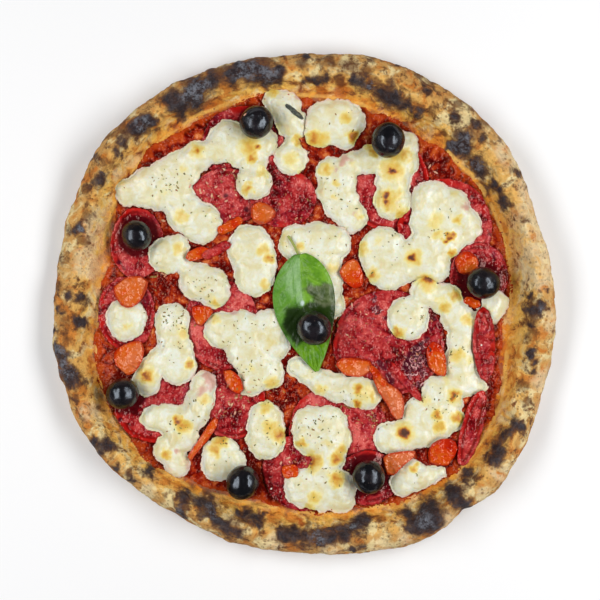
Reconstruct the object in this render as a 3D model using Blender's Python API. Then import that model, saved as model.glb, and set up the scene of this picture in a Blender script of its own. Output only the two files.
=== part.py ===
"""A wood-fired pizza with salami, about 32 cm across: a puffed and blistered crust, tomato sauce, slices
of salami, pools of melted mozzarella, chunks of roasted tomato, black olives and one basil leaf.

Lengths are in metres, +Z is up, and the pizza rests on Z = 0 with its middle at the origin.
Places on top come from a plan of the pizza, seen from straight above. The plan's own units run to the
right and down, and one of them is PLAN_UNIT. The toppings are listed, and laid, from the bottom up, and
each one drapes over what lies under it."""

import math
import random

import bmesh
import bpy
from mathutils import Vector, geometry, noise
from mathutils.bvhtree import BVHTree

MM = 0.001
PLAN_UNIT = 0.64 * MM
PLAN_MIDDLE = (304, 303)
CLEARANCE = 0.35 * MM  # between two pieces that touch
SKY = 0.2  # a height above everything

# The crust: its outer and inner edge, as {degrees anticlockwise from +X: radius in mm}
OUTER_EDGE = {
    0: 160.8, 11: 158.6, 22: 158.0, 36: 164.4, 50: 164.4, 70: 164.0, 92: 159.3, 114: 162.4, 130: 163.6,
    142: 164.6, 152: 162.2, 168: 160.3, 180: 159.6, 192: 163.2, 218: 161.8, 240: 158.2, 262: 160.3,
    275: 160.7, 286: 166.8, 304: 169.9, 316: 172.0, 332: 166.2, 345: 162.4,
}
INNER_EDGE = {
    0: 130.5, 20: 134.5, 50: 130.5, 62: 129.5, 90: 132, 108: 135.5, 138: 137, 152: 134.5, 172: 127.5,
    188: 135, 206: 141.5, 228: 139, 254: 130.8, 282: 136, 312: 144, 334: 137, 347: 129.2,
}
CRUST_SEGMENTS = 144
CRUST_ROWS = 12
FLOOR_HEIGHT = 4.0 * MM
RIM_HEIGHT = 21.5 * MM
RIM_HEIGHT_CHANGE = 6.0 * MM
CROWN_SHARE = 0.42  # how far in from the outer edge the rim is highest, as a share of its width
BELLY_SHARE = 0.40  # how high up the rim is widest, as a share of its height
FOOT_DEGREES = 42  # how far below its widest line the rim curls in to its foot
UNDERCUT_SHARE = 0.17  # how far the foot lies inside the widest line, as a share of the rim's width
RIM_HEIGHT_SWELLS = 2.6  # how fast the rim height changes on the way round
CRAG_SIZE = 19 * MM
CRAG_DEPTH = 3.4 * MM
SIDE_CRAG_SHARE = 0.5  # how deep the crags are low on the rim, as a share of those on top
TEAR_DEGREES = 307.5
TEAR_HALF_WIDTH = 2.4  # degrees
TEAR_DEPTH = 5.0 * MM
# The largest bubbles in the rim's top, each as (middle, middle, radius) in plan units
BUBBLES = [
    (285, 70, 12), (320, 74, 12), (352, 84, 11), (392, 97, 10), (425, 93, 9), (455, 120, 10), (461, 147, 14),
    (482, 168, 11), (502, 203, 11), (519, 237, 11), (532, 272, 10), (531, 312, 12), (525, 352, 12),
    (512, 398, 11), (498, 443, 14), (459, 496, 11), (425, 515, 15), (392, 522, 10), (352, 538, 13),
    (322, 531, 10), (292, 531, 12), (255, 519, 13), (217, 514, 13), (185, 501, 10), (148, 474, 10),
    (125, 464, 12), (100, 430, 11), (79, 386, 14), (67, 352, 11), (73, 310, 10), (80, 270, 10), (94, 230, 11),
    (104, 184, 12), (124, 151, 12), (144, 127, 13), (174, 106, 12), (201, 97, 13), (250, 76, 15),
]
BUBBLE_RISE = 0.30  # a bubble's height as a share of its radius

SAUCE_SEGMENTS = 48
SAUCE_RINGS = (0.36, 0.72, 1.0)
SAUCE_THICKNESS = 1.6 * MM
SAUCE_MARGIN = 1.0 * MM
SAUCE_RIPPLE = 0.4 * MM
SAUCE_RIPPLE_SIZE = 15 * MM

# Salami, each as (middle, middle, half width, half height) in plan units, and its turn in degrees
SALAMI = [
    (243, 145, 42, 40, 0), (228, 196, 38, 28, 0), (283, 198, 34, 30, 0), (390, 185, 40, 48, 0),
    (445, 226, 48, 48, 0), (479, 276, 30, 34, 0), (389, 343, 56, 54, 0), (338, 433, 50, 50, 0),
    (305, 472, 43, 40, 0), (368, 478, 32, 28, 0), (137, 243, 27, 36, 0), (126, 313, 29, 37, 0),
    (158, 408, 44, 36, 0), (232, 402, 34, 38, 0), (222, 325, 38, 46, 0),
]
SALAMI_LAY = {"facet": 9.5 * MM, "thickness": 1.4 * MM, "edge": 1.0 * MM, "shoulder": 3 * MM, "easing": 0}
SALAMI_OUTLINE_STEP = 6.5 * MM
SALAMI_WOBBLE = 0.04
# Slices folded over on themselves, laid last, beside the rim
FOLDED_SALAMI = [(484, 344, 12, 38, 3), (472, 428, 11, 41, -15)]
FOLDED_LAY = {"facet": 7.5 * MM, "thickness": 4.2 * MM, "edge": 1.2 * MM, "shoulder": 6 * MM, "easing": 1}
FOLDED_OUTLINE_STEP = 5.5 * MM

# Mozzarella, each pool as the lumps that melted together: (middle, middle, radius) in plan units
MOZZARELLA = [
    [(128, 192, 13), (146, 188, 19), (165, 180, 20), (179, 171, 20), (197, 156, 15), (216, 150, 14),
     (230, 141, 21), (246, 152, 18), (263, 143, 14), (256, 164, 11), (254, 182, 17), (176, 198, 18),
     (186, 214, 19), (201, 223, 20), (160, 197, 13)],
    [(274, 101, 11), (286, 106, 15), (291, 122, 15), (298, 126, 11), (292, 141, 6), (291, 159, 16)],
    [(325, 119, 18), (340, 118, 19), (347, 122, 18), (319, 133, 14), (345, 138, 11), (334, 130, 14)],
    [(331, 172, 15), (331, 192, 14), (341, 203, 18), (352, 218, 15), (343, 182, 14), (352, 164, 12),
     (369, 160, 14), (386, 152, 15), (403, 146, 15), (400, 162, 18), (393, 180, 17), (392, 201, 18)],
    [(431, 201, 20), (449, 210, 21), (463, 226, 18), (442, 235, 24), (424, 222, 14), (425, 256, 24),
     (436, 268, 14), (405, 262, 20), (383, 252, 24), (388, 268, 22)],
    [(408, 318, 21), (424, 291, 13), (446, 299, 16), (458, 318, 16), (461, 341, 14), (461, 361, 17),
     (463, 381, 16), (474, 386, 8), (483, 387, 5), (438, 392, 16), (452, 402, 11), (418, 413, 15),
     (438, 415, 17), (455, 420, 11), (443, 428, 10), (424, 433, 15), (404, 437, 16), (390, 438, 16),
     (470, 329, 9), (481, 322, 9), (491, 313, 11), (495, 303, 13)],
    [(403, 483, 13), (418, 479, 12), (432, 475, 9), (442, 472, 5), (413, 467, 8)],
    [(297, 243, 18), (317, 241, 19), (334, 243, 17), (312, 259, 20), (329, 263, 13), (329, 285, 14),
     (331, 305, 14)],
    [(250, 248, 23), (255, 262, 21), (255, 276, 20)],
    [(167, 255, 18), (178, 246, 11), (184, 266, 8), (197, 281, 18), (211, 286, 18), (216, 296, 12)],
    [(127, 317, 19), (126, 323, 18)],
    [(172, 320, 17), (172, 336, 16), (176, 352, 17), (178, 366, 18), (158, 358, 10), (150, 368, 10),
     (146, 382, 14)],
    [(222, 330, 18), (240, 331, 21), (244, 351, 18), (257, 366, 18), (268, 373, 16), (251, 384, 12),
     (270, 327, 18), (275, 345, 15)],
    [(297, 367, 10), (308, 374, 11), (322, 383, 13), (338, 388, 14), (355, 392, 15), (367, 394, 14)],
    [(265, 418, 16), (266, 428, 18), (266, 440, 19)],
    [(311, 425, 18), (329, 424, 18), (312, 437, 18), (334, 438, 17), (333, 456, 13), (319, 466, 9),
     (303, 488, 19), (321, 489, 22), (339, 487, 17), (343, 502, 11)],
    [(153, 418, 12), (168, 419, 15), (186, 421, 15), (200, 401, 14), (204, 384, 13), (196, 414, 13),
     (181, 437, 16), (166, 450, 13), (177, 464, 13)],
    [(221, 456, 19), (218, 466, 16), (232, 464, 14)],
]
MOZZARELLA_LAY = {
    "facet": 8.4 * MM, "thickness": 3.4 * MM, "edge": 1.0 * MM, "shoulder": 4.5 * MM, "easing": 3,
}
MOZZARELLA_OUTLINE_STEP = 5.2 * MM
LUMP_BLEND = 2.0  # plan units over which two lumps flow together
LUMP_WOBBLE = 1.0  # plan units
LUMP_WOBBLE_SIZE = 8 * MM

# Roasted tomato, each chunk by the corners of its outline in plan units
TOMATO = [
    [(112, 288), (121, 278), (140, 275), (150, 279), (146, 292), (140, 304), (130, 309), (119, 305)],
    [(112, 353), (122, 345), (136, 340), (146, 342), (143, 360), (137, 372), (124, 378), (116, 368)],
    [(185, 253), (200, 246), (212, 246), (208, 256), (196, 261), (186, 262)],
    [(252, 203), (262, 201), (279, 211), (272, 222), (258, 226), (250, 218)],
    [(190, 306), (200, 304), (217, 309), (207, 320), (200, 329), (194, 321)],
    [(222, 368), (230, 368), (242, 378), (245, 392), (236, 396), (226, 384)],
    [(215, 414), (221, 420), (210, 438), (197, 452), (189, 466), (184, 461), (195, 445), (205, 430)],
    [(337, 272), (346, 262), (356, 256), (361, 268), (366, 282), (358, 291), (346, 284)],
    [(334, 359), (350, 357), (370, 359), (374, 367), (368, 377), (350, 377), (338, 372)],
    [(370, 372), (378, 370), (386, 383), (398, 388), (405, 400), (404, 420), (394, 422), (388, 405),
     (378, 393)],
    [(429, 342), (437, 340), (444, 350), (447, 366), (446, 379), (436, 375), (427, 366), (425, 352)],
    [(430, 444), (440, 438), (456, 439), (458, 450), (452, 466), (440, 466), (426, 463)],
    [(381, 456), (392, 452), (412, 450), (421, 453), (410, 460), (400, 468), (392, 478), (384, 472)],
    [(452, 262), (462, 250), (472, 252), (480, 262), (474, 274), (460, 276)],
]
TOMATO_LAY = {"facet": 6.5 * MM, "thickness": 4.2 * MM, "edge": 2.2 * MM, "shoulder": 2.5 * MM, "easing": 2}
TOMATO_OUTLINE_STEP = 4.2 * MM

# Olives as (middle, middle, radius) in plan units. The last lies on the basil leaf.
OLIVES = [
    (257, 124, 16.0), (387, 142, 16.6), (138, 236, 14.6), (481, 283, 15.8), (124, 393, 15.4),
    (243, 481, 16.2), (368, 475, 16.0), (314, 328, 16.8),
]
OLIVE_LENGTH_SHARE = 1.07
OLIVE_REST_SHARE = 0.80  # how far below its middle an olive is squashed flat, as a share of its radius
OLIVE_SEAT = 1.2 * MM  # the cheese left under an olive
OLIVE_OUTLINE_STEP = 5 * MM
OLIVE_FEELERS = 16  # directions and rings in which an olive feels for what lies under it
OLIVE_FEELER_RINGS = 8
OLIVE_TURN = 0.7  # radians from one olive to the next

LEAF_BASE = (300, 253)
LEAF_TIP = (317, 372)
LEAF_BOW = 3.0  # plan units by which the midrib bends aside
LEAF_HALF_WIDTH = 31.0  # plan units
LEAF_THICKNESS = 0.6 * MM
LEAF_START = 0.025  # where the blade starts and how far it runs, as shares of the way from base to tip
LEAF_RUN = 0.965
LEAF_ROWS = 12
LEAF_COLUMNS = 6
LEAF_ARCH = 1.6 * MM
LEAF_RIPPLE = 0.5 * MM
LEAF_EASING = 6
LEAF_PRESSED = 20 * MM  # how far round it the olive presses the leaf down
STEM_END = (289, 237)
STEM_RADIUS = 1.1 * MM
STEM_SIDES = 6
STEM_STATIONS = (-0.12, 0.0, 0.25, 0.5, 0.75, 1.0)  # along the stem, the first inside the blade

# Flakes of dried herb, fused to the cheese and the salami
HERB_LENGTH = 2.8 * MM
HERB_WIDTH = 1.3 * MM
HERB_HEIGHT = 0.9 * MM
HERB_SINK = 0.12 * MM
HERB_SPACING = 15 * MM
HERB_MARGIN = 2.6 * MM  # a flake's middle stays this far inside its piece and outside what lies on it
HERB_SEED = 11
# A burnt sliver of basil on the second pool, by its two ends in plan units
SLIVER_ENDS = ((287, 106), (302, 118))
SLIVER_WIDTH = 2.2 * MM
SLIVER_HEIGHT = 1.0 * MM
SLIVER_POOL = 2

# How every draped topping is made
SAMPLE_STEP = 0.9 * MM  # between the places where a topping's underside is tested
EDGE_ROOM = 0.55  # how near a facet's corner may come to an outline, as a share of a facet's size
THICKNESS_CHANGE = 0.15  # how much a topping's thickness changes from place to place
THICKNESS_CHANGE_SIZE = 9 * MM
LEAST_SHARE = 0.45  # how thin a topping may be pressed, as a share of its edge's thickness

laid = []  # what later pieces can lie on: (tree of its faces, lowest corner, highest corner)


def clear_scene():
    for thing in list(bpy.data.objects):
        bpy.data.objects.remove(thing, do_unlink=True)


def plan(x, y):
    """A place in the plan as a 2D point in metres."""
    return Vector(((x - PLAN_MIDDLE[0]) * PLAN_UNIT, (PLAN_MIDDLE[1] - y) * PLAN_UNIT))


def on_closed_curve(knots, degrees):
    """The value at an angle, on a smooth closed curve through the knots {degrees: value}."""
    angles = sorted(knots)
    last = max((i for i, angle in enumerate(angles) if angle <= degrees), default=-1)
    near = [(angles[i % len(angles)] + 360 * (i // len(angles)), knots[angles[i % len(angles)]])
            for i in range(last - 1, last + 3)]
    (a0, v0), (a1, v1), (a2, v2), (a3, v3) = near
    slope_1 = (v2 - v0) / (a2 - a0)
    slope_2 = (v3 - v1) / (a3 - a1)
    span = a2 - a1
    t = (degrees - a1) / span
    return (
        v1 * (1 + 2 * t) * (1 - t) ** 2
        + v2 * t * t * (3 - 2 * t)
        + span * (slope_1 * t * (1 - t) ** 2 - slope_2 * t * t * (1 - t))
    )


def material(name, colour, roughness):
    made = bpy.data.materials.new(name)
    made.use_nodes = True
    shader = made.node_tree.nodes["Principled BSDF"]
    shader.inputs["Base Color"].default_value = (*colour, 1)
    shader.inputs["Roughness"].default_value = roughness
    shader.inputs["Metallic"].default_value = 0
    return made


def add_object(name, mesh_maker, finish, parent):
    mesh = bpy.data.meshes.new(name)
    mesh_maker.to_mesh(mesh)
    mesh_maker.free()
    mesh.shade_smooth()
    mesh.materials.append(finish)
    made = bpy.data.objects.new(name, mesh)
    bpy.context.scene.collection.objects.link(made)
    made.parent = parent
    return made


def lay_down(thing):
    """From here on, other pieces can lie on this one."""
    corners = [Vector(vertex.co) for vertex in thing.data.vertices]
    tree = BVHTree.FromPolygons(corners, [face.vertices for face in thing.data.polygons])
    low = Vector([min(corner[i] for corner in corners) for i in range(3)])
    high = Vector([max(corner[i] for corner in corners) for i in range(3)])
    laid.append((tree, low, high))


def height_at(x, y):
    """How high the pizza is at a place, with what is laid so far."""
    height = 0.0
    for tree, low, high in laid:
        if low.x <= x <= high.x and low.y <= y <= high.y and high.z > height:
            hit = tree.ray_cast(Vector((x, y, SKY)), Vector((0, 0, -1)))[0]
            if hit is not None:
                height = max(height, hit.z)
    return height


# ---------------------------------------------------------------- the crust and the sauce


def rim_section(row, outer, inner, crown_height):
    """The rim's outline at one row, from its foot on the table over the top to the floor inside:
    (radius, height)."""
    width = outer - inner
    crown = outer - CROWN_SHARE * width
    outside_rows = CRUST_ROWS // 2
    belly_height = BELLY_SHARE * crown_height
    if row <= outside_rows:
        turn = math.radians(-FOOT_DEGREES + (FOOT_DEGREES + 90) * row / outside_rows)
        foot = math.sin(math.radians(FOOT_DEGREES))
        if turn < 0:
            inwards = UNDERCUT_SHARE * width * (math.sin(turn) / foot) ** 2
            return outer - inwards, belly_height * (1 + math.sin(turn) / foot)
        reach = CROWN_SHARE * width * math.cos(turn)
        return crown + reach, belly_height + (crown_height - belly_height) * math.sin(turn)
    share = (row - outside_rows) / (CRUST_ROWS - 1 - outside_rows)
    height = FLOOR_HEIGHT + (crown_height - FLOOR_HEIGHT) * (0.5 + 0.5 * math.cos(math.pi * share))
    return crown + (inner - crown) * share, height


def bubble_lift(place, bubbles):
    """How far the bubbles push the rim's top out at a place."""
    lift = 0.0
    for middle, radius in bubbles:
        share = (place - middle).length / radius
        if share < 1:
            lift = max(lift, BUBBLE_RISE * radius * (1 - share * share))
    return lift


def crust_radii(degrees):
    outer = on_closed_curve(OUTER_EDGE, degrees) * MM
    inner = on_closed_curve(INNER_EDGE, degrees) * MM
    outer -= TEAR_DEPTH * math.exp(-(((degrees - TEAR_DEGREES) / TEAR_HALF_WIDTH) ** 2))
    return outer, inner


def make_crust(finish, parent):
    bubbles = [(plan(x, y), radius * PLAN_UNIT) for x, y, radius in BUBBLES]
    shape = bmesh.new()
    rings = []
    for row in range(CRUST_ROWS):
        ring = []
        for segment in range(CRUST_SEGMENTS):
            degrees = (segment + 0.5) * 360 / CRUST_SEGMENTS
            turn = math.radians(degrees)
            outward = Vector((math.cos(turn), math.sin(turn), 0))
            outer, inner = crust_radii(degrees)
            swell = noise.noise(outward * RIM_HEIGHT_SWELLS + Vector((3, 1, 7)))
            crown_height = RIM_HEIGHT + RIM_HEIGHT_CHANGE * swell
            radius, height = rim_section(row, outer, inner, crown_height)
            point = outward * radius + Vector((0, 0, height))
            if 0 < row < CRUST_ROWS - 1:
                core = outward * (outer - 0.5 * (outer - inner)) + Vector((0, 0, RIM_HEIGHT / 3))
                out_of_rim = (point - core).normalized()
                belly_height = BELLY_SHARE * crown_height
                on_top = max(0.0, (height - belly_height) / (crown_height - belly_height))
                deep = SIDE_CRAG_SHARE + (1 - SIDE_CRAG_SHARE) * on_top
                crag = CRAG_DEPTH * deep * noise.noise(point / CRAG_SIZE)
                point += out_of_rim * (crag + on_top * bubble_lift(point.to_2d(), bubbles))
            ring.append(shape.verts.new(point))
        rings.append(ring)
    for below, above in zip(rings, rings[1:]):
        for i in range(CRUST_SEGMENTS):
            j = (i + 1) % CRUST_SEGMENTS
            shape.faces.new((below[i], below[j], above[j], above[i]))
    under = shape.verts.new((0, 0, 0))
    floor = shape.verts.new((0, 0, FLOOR_HEIGHT))
    for i in range(CRUST_SEGMENTS):
        j = (i + 1) % CRUST_SEGMENTS
        shape.faces.new((under, rings[0][j], rings[0][i]))
        shape.faces.new((floor, rings[-1][i], rings[-1][j]))
    return add_object("crust", shape, finish, parent)


def make_sauce(finish, parent):
    """A thin spread disc, its top a little uneven."""
    bottom_height = FLOOR_HEIGHT + CLEARANCE
    shape = bmesh.new()
    top = shape.verts.new((0, 0, bottom_height + SAUCE_THICKNESS))
    bottom = shape.verts.new((0, 0, bottom_height))
    rings = []
    for share in SAUCE_RINGS:
        ring = []
        for segment in range(SAUCE_SEGMENTS):
            degrees = segment * 360 / SAUCE_SEGMENTS
            turn = math.radians(degrees)
            radius = share * (crust_radii(degrees)[1] - SAUCE_MARGIN)
            place = Vector((radius * math.cos(turn), radius * math.sin(turn), 0))
            ripple = SAUCE_RIPPLE * noise.noise(place / SAUCE_RIPPLE_SIZE)
            ring.append(shape.verts.new(place + Vector((0, 0, bottom_height + SAUCE_THICKNESS + ripple))))
        rings.append(ring)
    edge = [shape.verts.new((vertex.co.x, vertex.co.y, bottom_height)) for vertex in rings[-1]]
    for i in range(SAUCE_SEGMENTS):
        j = (i + 1) % SAUCE_SEGMENTS
        shape.faces.new((top, rings[0][i], rings[0][j]))
        for inside, outside in zip(rings, rings[1:]):
            shape.faces.new((inside[i], outside[i], outside[j], inside[j]))
        shape.faces.new((rings[-1][i], edge[i], edge[j], rings[-1][j]))
        shape.faces.new((bottom, edge[j], edge[i]))
    return add_object("tomato_sauce", shape, finish, parent)


# ---------------------------------------------------------------- outlines


def resample(points, spacing):
    """The closed line through the points, with new points at an even spacing."""
    loop = points + points[:1]
    lengths = [(b - a).length for a, b in zip(loop, loop[1:])]
    total = sum(lengths)
    count = max(6, round(total / spacing))
    made = []
    along, piece = 0.0, 0
    for i in range(count):
        target = total * i / count
        while along + lengths[piece] < target:
            along += lengths[piece]
            piece += 1
        made.append(loop[piece].lerp(loop[piece + 1], (target - along) / lengths[piece]))
    return made


def ellipse_outline(x, y, half_width, half_height, turn_degrees, spacing):
    """A slice's edge, a little off a true ellipse, anticlockwise."""
    middle = plan(x, y)
    turn = math.radians(turn_degrees)
    points = []
    for step in range(90):
        angle = math.radians(step * 4)
        wobble = noise.noise(Vector((2 * math.cos(angle), 2 * math.sin(angle), x + y)))
        size = 1 + SALAMI_WOBBLE * wobble
        along = half_width * size * math.cos(angle) * PLAN_UNIT
        across = half_height * size * math.sin(angle) * PLAN_UNIT
        turned = Vector((
            along * math.cos(turn) - across * math.sin(turn),
            along * math.sin(turn) + across * math.cos(turn),
        ))
        points.append(middle + turned)
    return resample(points, spacing)


def lumps_outline(lumps, spacing):
    """The edge of the pool that the lumps melt into, walked round anticlockwise. The pool is where the
    smooth union of the lumps' circles is above zero."""
    circles = [(plan(x, y), radius * PLAN_UNIT) for x, y, radius in lumps]
    blend = LUMP_BLEND * PLAN_UNIT
    wobble = LUMP_WOBBLE * PLAN_UNIT

    def depth(place):
        total = sum(math.exp((radius - (place - middle).length) / blend) for middle, radius in circles)
        return blend * math.log(total) + wobble * noise.noise(place.to_3d() / LUMP_WOBBLE_SIZE)

    def uphill(place):
        tiny = 0.02 * MM
        across = depth(place + Vector((tiny, 0))) - depth(place - Vector((tiny, 0)))
        along = depth(place + Vector((0, tiny))) - depth(place - Vector((0, tiny)))
        return Vector((across, along)) / (2 * tiny)

    def onto_edge(place):
        for _ in range(4):
            slope = uphill(place)
            place = place - slope * (depth(place) / slope.length_squared)
        return place

    lowest_middle, radius = min(circles, key=lambda circle: circle[0].y - circle[1])
    step = 0.5 * MM
    start = onto_edge(lowest_middle - Vector((0, radius)))
    points = [start]
    while len(points) < 4 or (points[-1] - start).length > step:
        slope = uphill(points[-1])
        points.append(onto_edge(points[-1] + Vector((slope.y, -slope.x)).normalized() * step))
    return resample(points, spacing)


def corners_outline(corners, spacing):
    """A chunk's edge through its corners, anticlockwise, with the corners rounded off."""
    points = [plan(x, y) for x, y in corners]
    for _ in range(2):
        cut = []
        for a, b in zip(points, points[1:] + points[:1]):
            cut += [a.lerp(b, 0.25), a.lerp(b, 0.75)]
        points = cut
    return resample(points[::-1], spacing)


def edge_distance(place, outline):
    nearest = SKY
    for a, b in zip(outline, outline[1:] + outline[:1]):
        foot, share = geometry.intersect_point_line(place, a, b)
        foot = a if share < 0 else b if share > 1 else foot.to_2d()
        nearest = min(nearest, (place - foot).length)
    return nearest


def is_inside(place, outline):
    crossings = 0
    for a, b in zip(outline, outline[1:] + outline[:1]):
        if (a.y > place.y) != (b.y > place.y):
            if place.x < a.x + (place.y - a.y) / (b.y - a.y) * (b.x - a.x):
                crossings += 1
    return crossings % 2 == 1


def fill(outline, spacing):
    """Splits an outline's inside into triangles of about this size: (points, anticlockwise triangles)."""
    low = Vector([min(p[i] for p in outline) for i in range(2)])
    high = Vector([max(p[i] for p in outline) for i in range(2)])
    inner = []
    row_height = spacing * math.sqrt(3) / 2
    for row in range(int((high.y - low.y) / row_height) + 1):
        for column in range(int((high.x - low.x) / spacing) + 2):
            place = low + Vector(((column - 0.5 * (row % 2)) * spacing, (row + 0.5) * row_height))
            if is_inside(place, outline) and edge_distance(place, outline) > EDGE_ROOM * spacing:
                inner.append(place)
    count = len(outline)
    edges = [(i, (i + 1) % count) for i in range(count)]
    points, _, triangles, *_ = geometry.delaunay_2d_cdt(outline + inner, edges, [], 1, 1e-7)
    return points, [tuple(triangle) for triangle in triangles]


# ---------------------------------------------------------------- pieces that drape


def resting_heights(points, triangles):
    """Heights for a sheet's points at which it clears all that is laid so far. A facet is sampled over
    its whole face, and where a sample is too low its corners rise, the nearest most."""
    heights = [height_at(p.x, p.y) + CLEARANCE for p in points]
    for a, b, c in triangles:
        longest = max((points[a] - points[b]).length, (points[b] - points[c]).length,
                      (points[c] - points[a]).length)
        steps = max(3, math.ceil(longest / SAMPLE_STEP))
        for i in range(steps + 1):
            for j in range(steps + 1 - i):
                u, v = i / steps, j / steps
                w = 1 - u - v
                place = points[a] * u + points[b] * v + points[c] * w
                short = height_at(place.x, place.y) + CLEARANCE
                short -= heights[a] * u + heights[b] * v + heights[c] * w
                if short > 0:
                    lift = short / (u * u + v * v + w * w)
                    heights[a] += lift * u
                    heights[b] += lift * v
                    heights[c] += lift * w
    return heights


def smoothed(values, triangles, rounds):
    """The values, each drawn towards the mean of its neighbours in the mesh."""
    near = [set() for _ in values]
    for triangle in triangles:
        for corner in triangle:
            near[corner].update(triangle)
    for _ in range(rounds):
        values = [sum(values[i] for i in around) / len(around) for around in near]
    return values


def olive_drop(away, radius):
    """How far an olive's underside lies below its middle, this far out from it."""
    share = away / (radius * OLIVE_LENGTH_SHARE)
    return radius * min(OLIVE_REST_SHARE, math.sqrt(max(0.0, 1 - share * share)))


def under_olive(place, nests):
    """The highest that a topping may be at a place, so that the olives fit into it."""
    limit = SKY
    for middle, radius, height in nests:
        away = (place - middle).length
        if away < radius * OLIVE_LENGTH_SHARE:
            limit = min(limit, height - olive_drop(away, radius) - CLEARANCE)
    return limit


def lay_piece(name, outline, lay, nests, finish, parent):
    """A topping that drapes over what lies under it. It is lay["edge"] thick at its outline, and
    lay["thickness"] a shoulder's width further in."""
    points, triangles = fill(outline, lay["facet"])
    bottom = resting_heights(points, triangles)
    base = smoothed(bottom, triangles, lay["easing"])
    top = []
    for point, low, level in zip(points, bottom, base):
        inwards = min(1.0, edge_distance(point, outline) / lay["shoulder"])
        rise = lay["edge"] + (lay["thickness"] - lay["edge"]) * math.sqrt(1 - (1 - inwards) ** 2)
        rise *= 1 + THICKNESS_CHANGE * noise.noise(point.to_3d() / THICKNESS_CHANGE_SIZE)
        height = min(max(low, level) + rise, under_olive(point, nests))
        top.append(max(height, low + LEAST_SHARE * lay["edge"]))
    shape = bmesh.new()
    upper = [shape.verts.new((p.x, p.y, z)) for p, z in zip(points, top)]
    lower = [shape.verts.new((p.x, p.y, z)) for p, z in zip(points, bottom)]
    sides = set()
    for a, b, c in triangles:
        shape.faces.new((upper[a], upper[b], upper[c]))
        shape.faces.new((lower[c], lower[b], lower[a]))
        sides |= {(a, b), (b, c), (c, a)}
    for a, b in sorted(sides):
        if (b, a) not in sides:
            shape.faces.new((lower[a], lower[b], upper[b], upper[a]))
    return add_object(name, shape, finish, parent)


def herb_flake(middle, upwards, turn):
    """A flat four-sided flake, most of it above the surface that it lies on."""
    along = Vector((math.cos(turn), math.sin(turn), 0))
    along = (along - upwards * along.dot(upwards)).normalized() * HERB_LENGTH / 2
    across = upwards.cross(along).normalized() * HERB_WIDTH / 2
    out = upwards * HERB_HEIGHT / 2
    core = middle - upwards * HERB_SINK
    return spindle([core + arm for arm in (along, across, -along, -across)], core + out, core - out)


def spindle(waist, top, bottom):
    """A closed body between four points that go round anticlockwise, one above them and one below."""
    shape = bmesh.new()
    ring = [shape.verts.new(point) for point in waist]
    above, below = shape.verts.new(top), shape.verts.new(bottom)
    for i in range(4):
        j = (i + 1) % 4
        shape.faces.new((ring[i], ring[j], above))
        shape.faces.new((ring[j], ring[i], below))
    return shape


def burnt_sliver(pool):
    """A shrivelled sliver of burnt basil, lying lengthways on a pool: (its shape, its outline)."""
    tree = BVHTree.FromPolygons([v.co for v in pool.data.vertices], [f.vertices for f in pool.data.polygons])
    start, end = [plan(*spot) for spot in SLIVER_ENDS]
    side = Vector((start.y - end.y, end.x - start.x)).normalized() * SLIVER_WIDTH / 2
    middle = (start + end) / 2
    flat = [start, middle - side, end, middle + side]
    waist = [tree.ray_cast(Vector((*spot, SKY)), Vector((0, 0, -1)))[0] for spot in flat]
    lift = Vector((0, 0, SLIVER_HEIGHT))
    core = sum(waist, Vector()) / 4
    waist = [point + 0.15 * lift for point in waist]
    return spindle(waist, core + lift, core - lift), flat


def herb_facets(piece, outline, covers, chance):
    """The middles of facets of a piece's top that are wide enough for a flake and stay in the open."""
    facets = [face for face in piece.data.polygons if face.normal.z > 0.5]
    chance.shuffle(facets)
    chosen = []
    for face in facets:
        middle = Vector(face.center)
        a, b, c = [piece.data.vertices[corner].co for corner in face.vertices]
        room = 2 * face.area / ((a - b).length + (b - c).length + (c - a).length)
        flat = middle.to_2d()
        if room < HERB_LENGTH / 2 + 0.1 * MM or edge_distance(flat, outline) < HERB_MARGIN:
            continue
        if any((middle - other).length < HERB_SPACING for other, _ in chosen):
            continue
        if any(is_inside(flat, cover) or edge_distance(flat, cover) < HERB_MARGIN for cover in covers):
            continue
        chosen.append((middle, Vector(face.normal)))
    return chosen


def add_herbs(piece, outline, covers, finish, chance, with_sliver=False):
    """Flakes of dried herb, and the burnt sliver, fused to a piece's top by one union."""
    flakes = bpy.data.collections.new("herbs")
    bpy.context.scene.collection.children.link(flakes)
    shapes = []
    if with_sliver:
        sliver, sliver_edge = burnt_sliver(piece)
        shapes.append(sliver)
        covers = covers + [sliver_edge]
    for middle, upwards in herb_facets(piece, outline, covers, chance):
        shapes.append(herb_flake(middle, upwards, chance.uniform(0, math.pi)))
    for shape in shapes:
        flake = add_object("herb", shape, finish, None)
        bpy.context.scene.collection.objects.unlink(flake)
        flakes.objects.link(flake)
    if flakes.objects:
        union = piece.modifiers.new("herbs", "BOOLEAN")
        union.operation = "UNION"
        union.operand_type = "COLLECTION"
        union.collection = flakes
        union.solver = "EXACT"
        bpy.context.view_layer.objects.active = piece
        bpy.ops.object.modifier_apply(modifier=union.name)
    for flake in list(flakes.objects):
        bpy.data.objects.remove(flake, do_unlink=True)
    bpy.data.collections.remove(flakes)


# ---------------------------------------------------------------- the olives and the basil leaf


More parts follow.
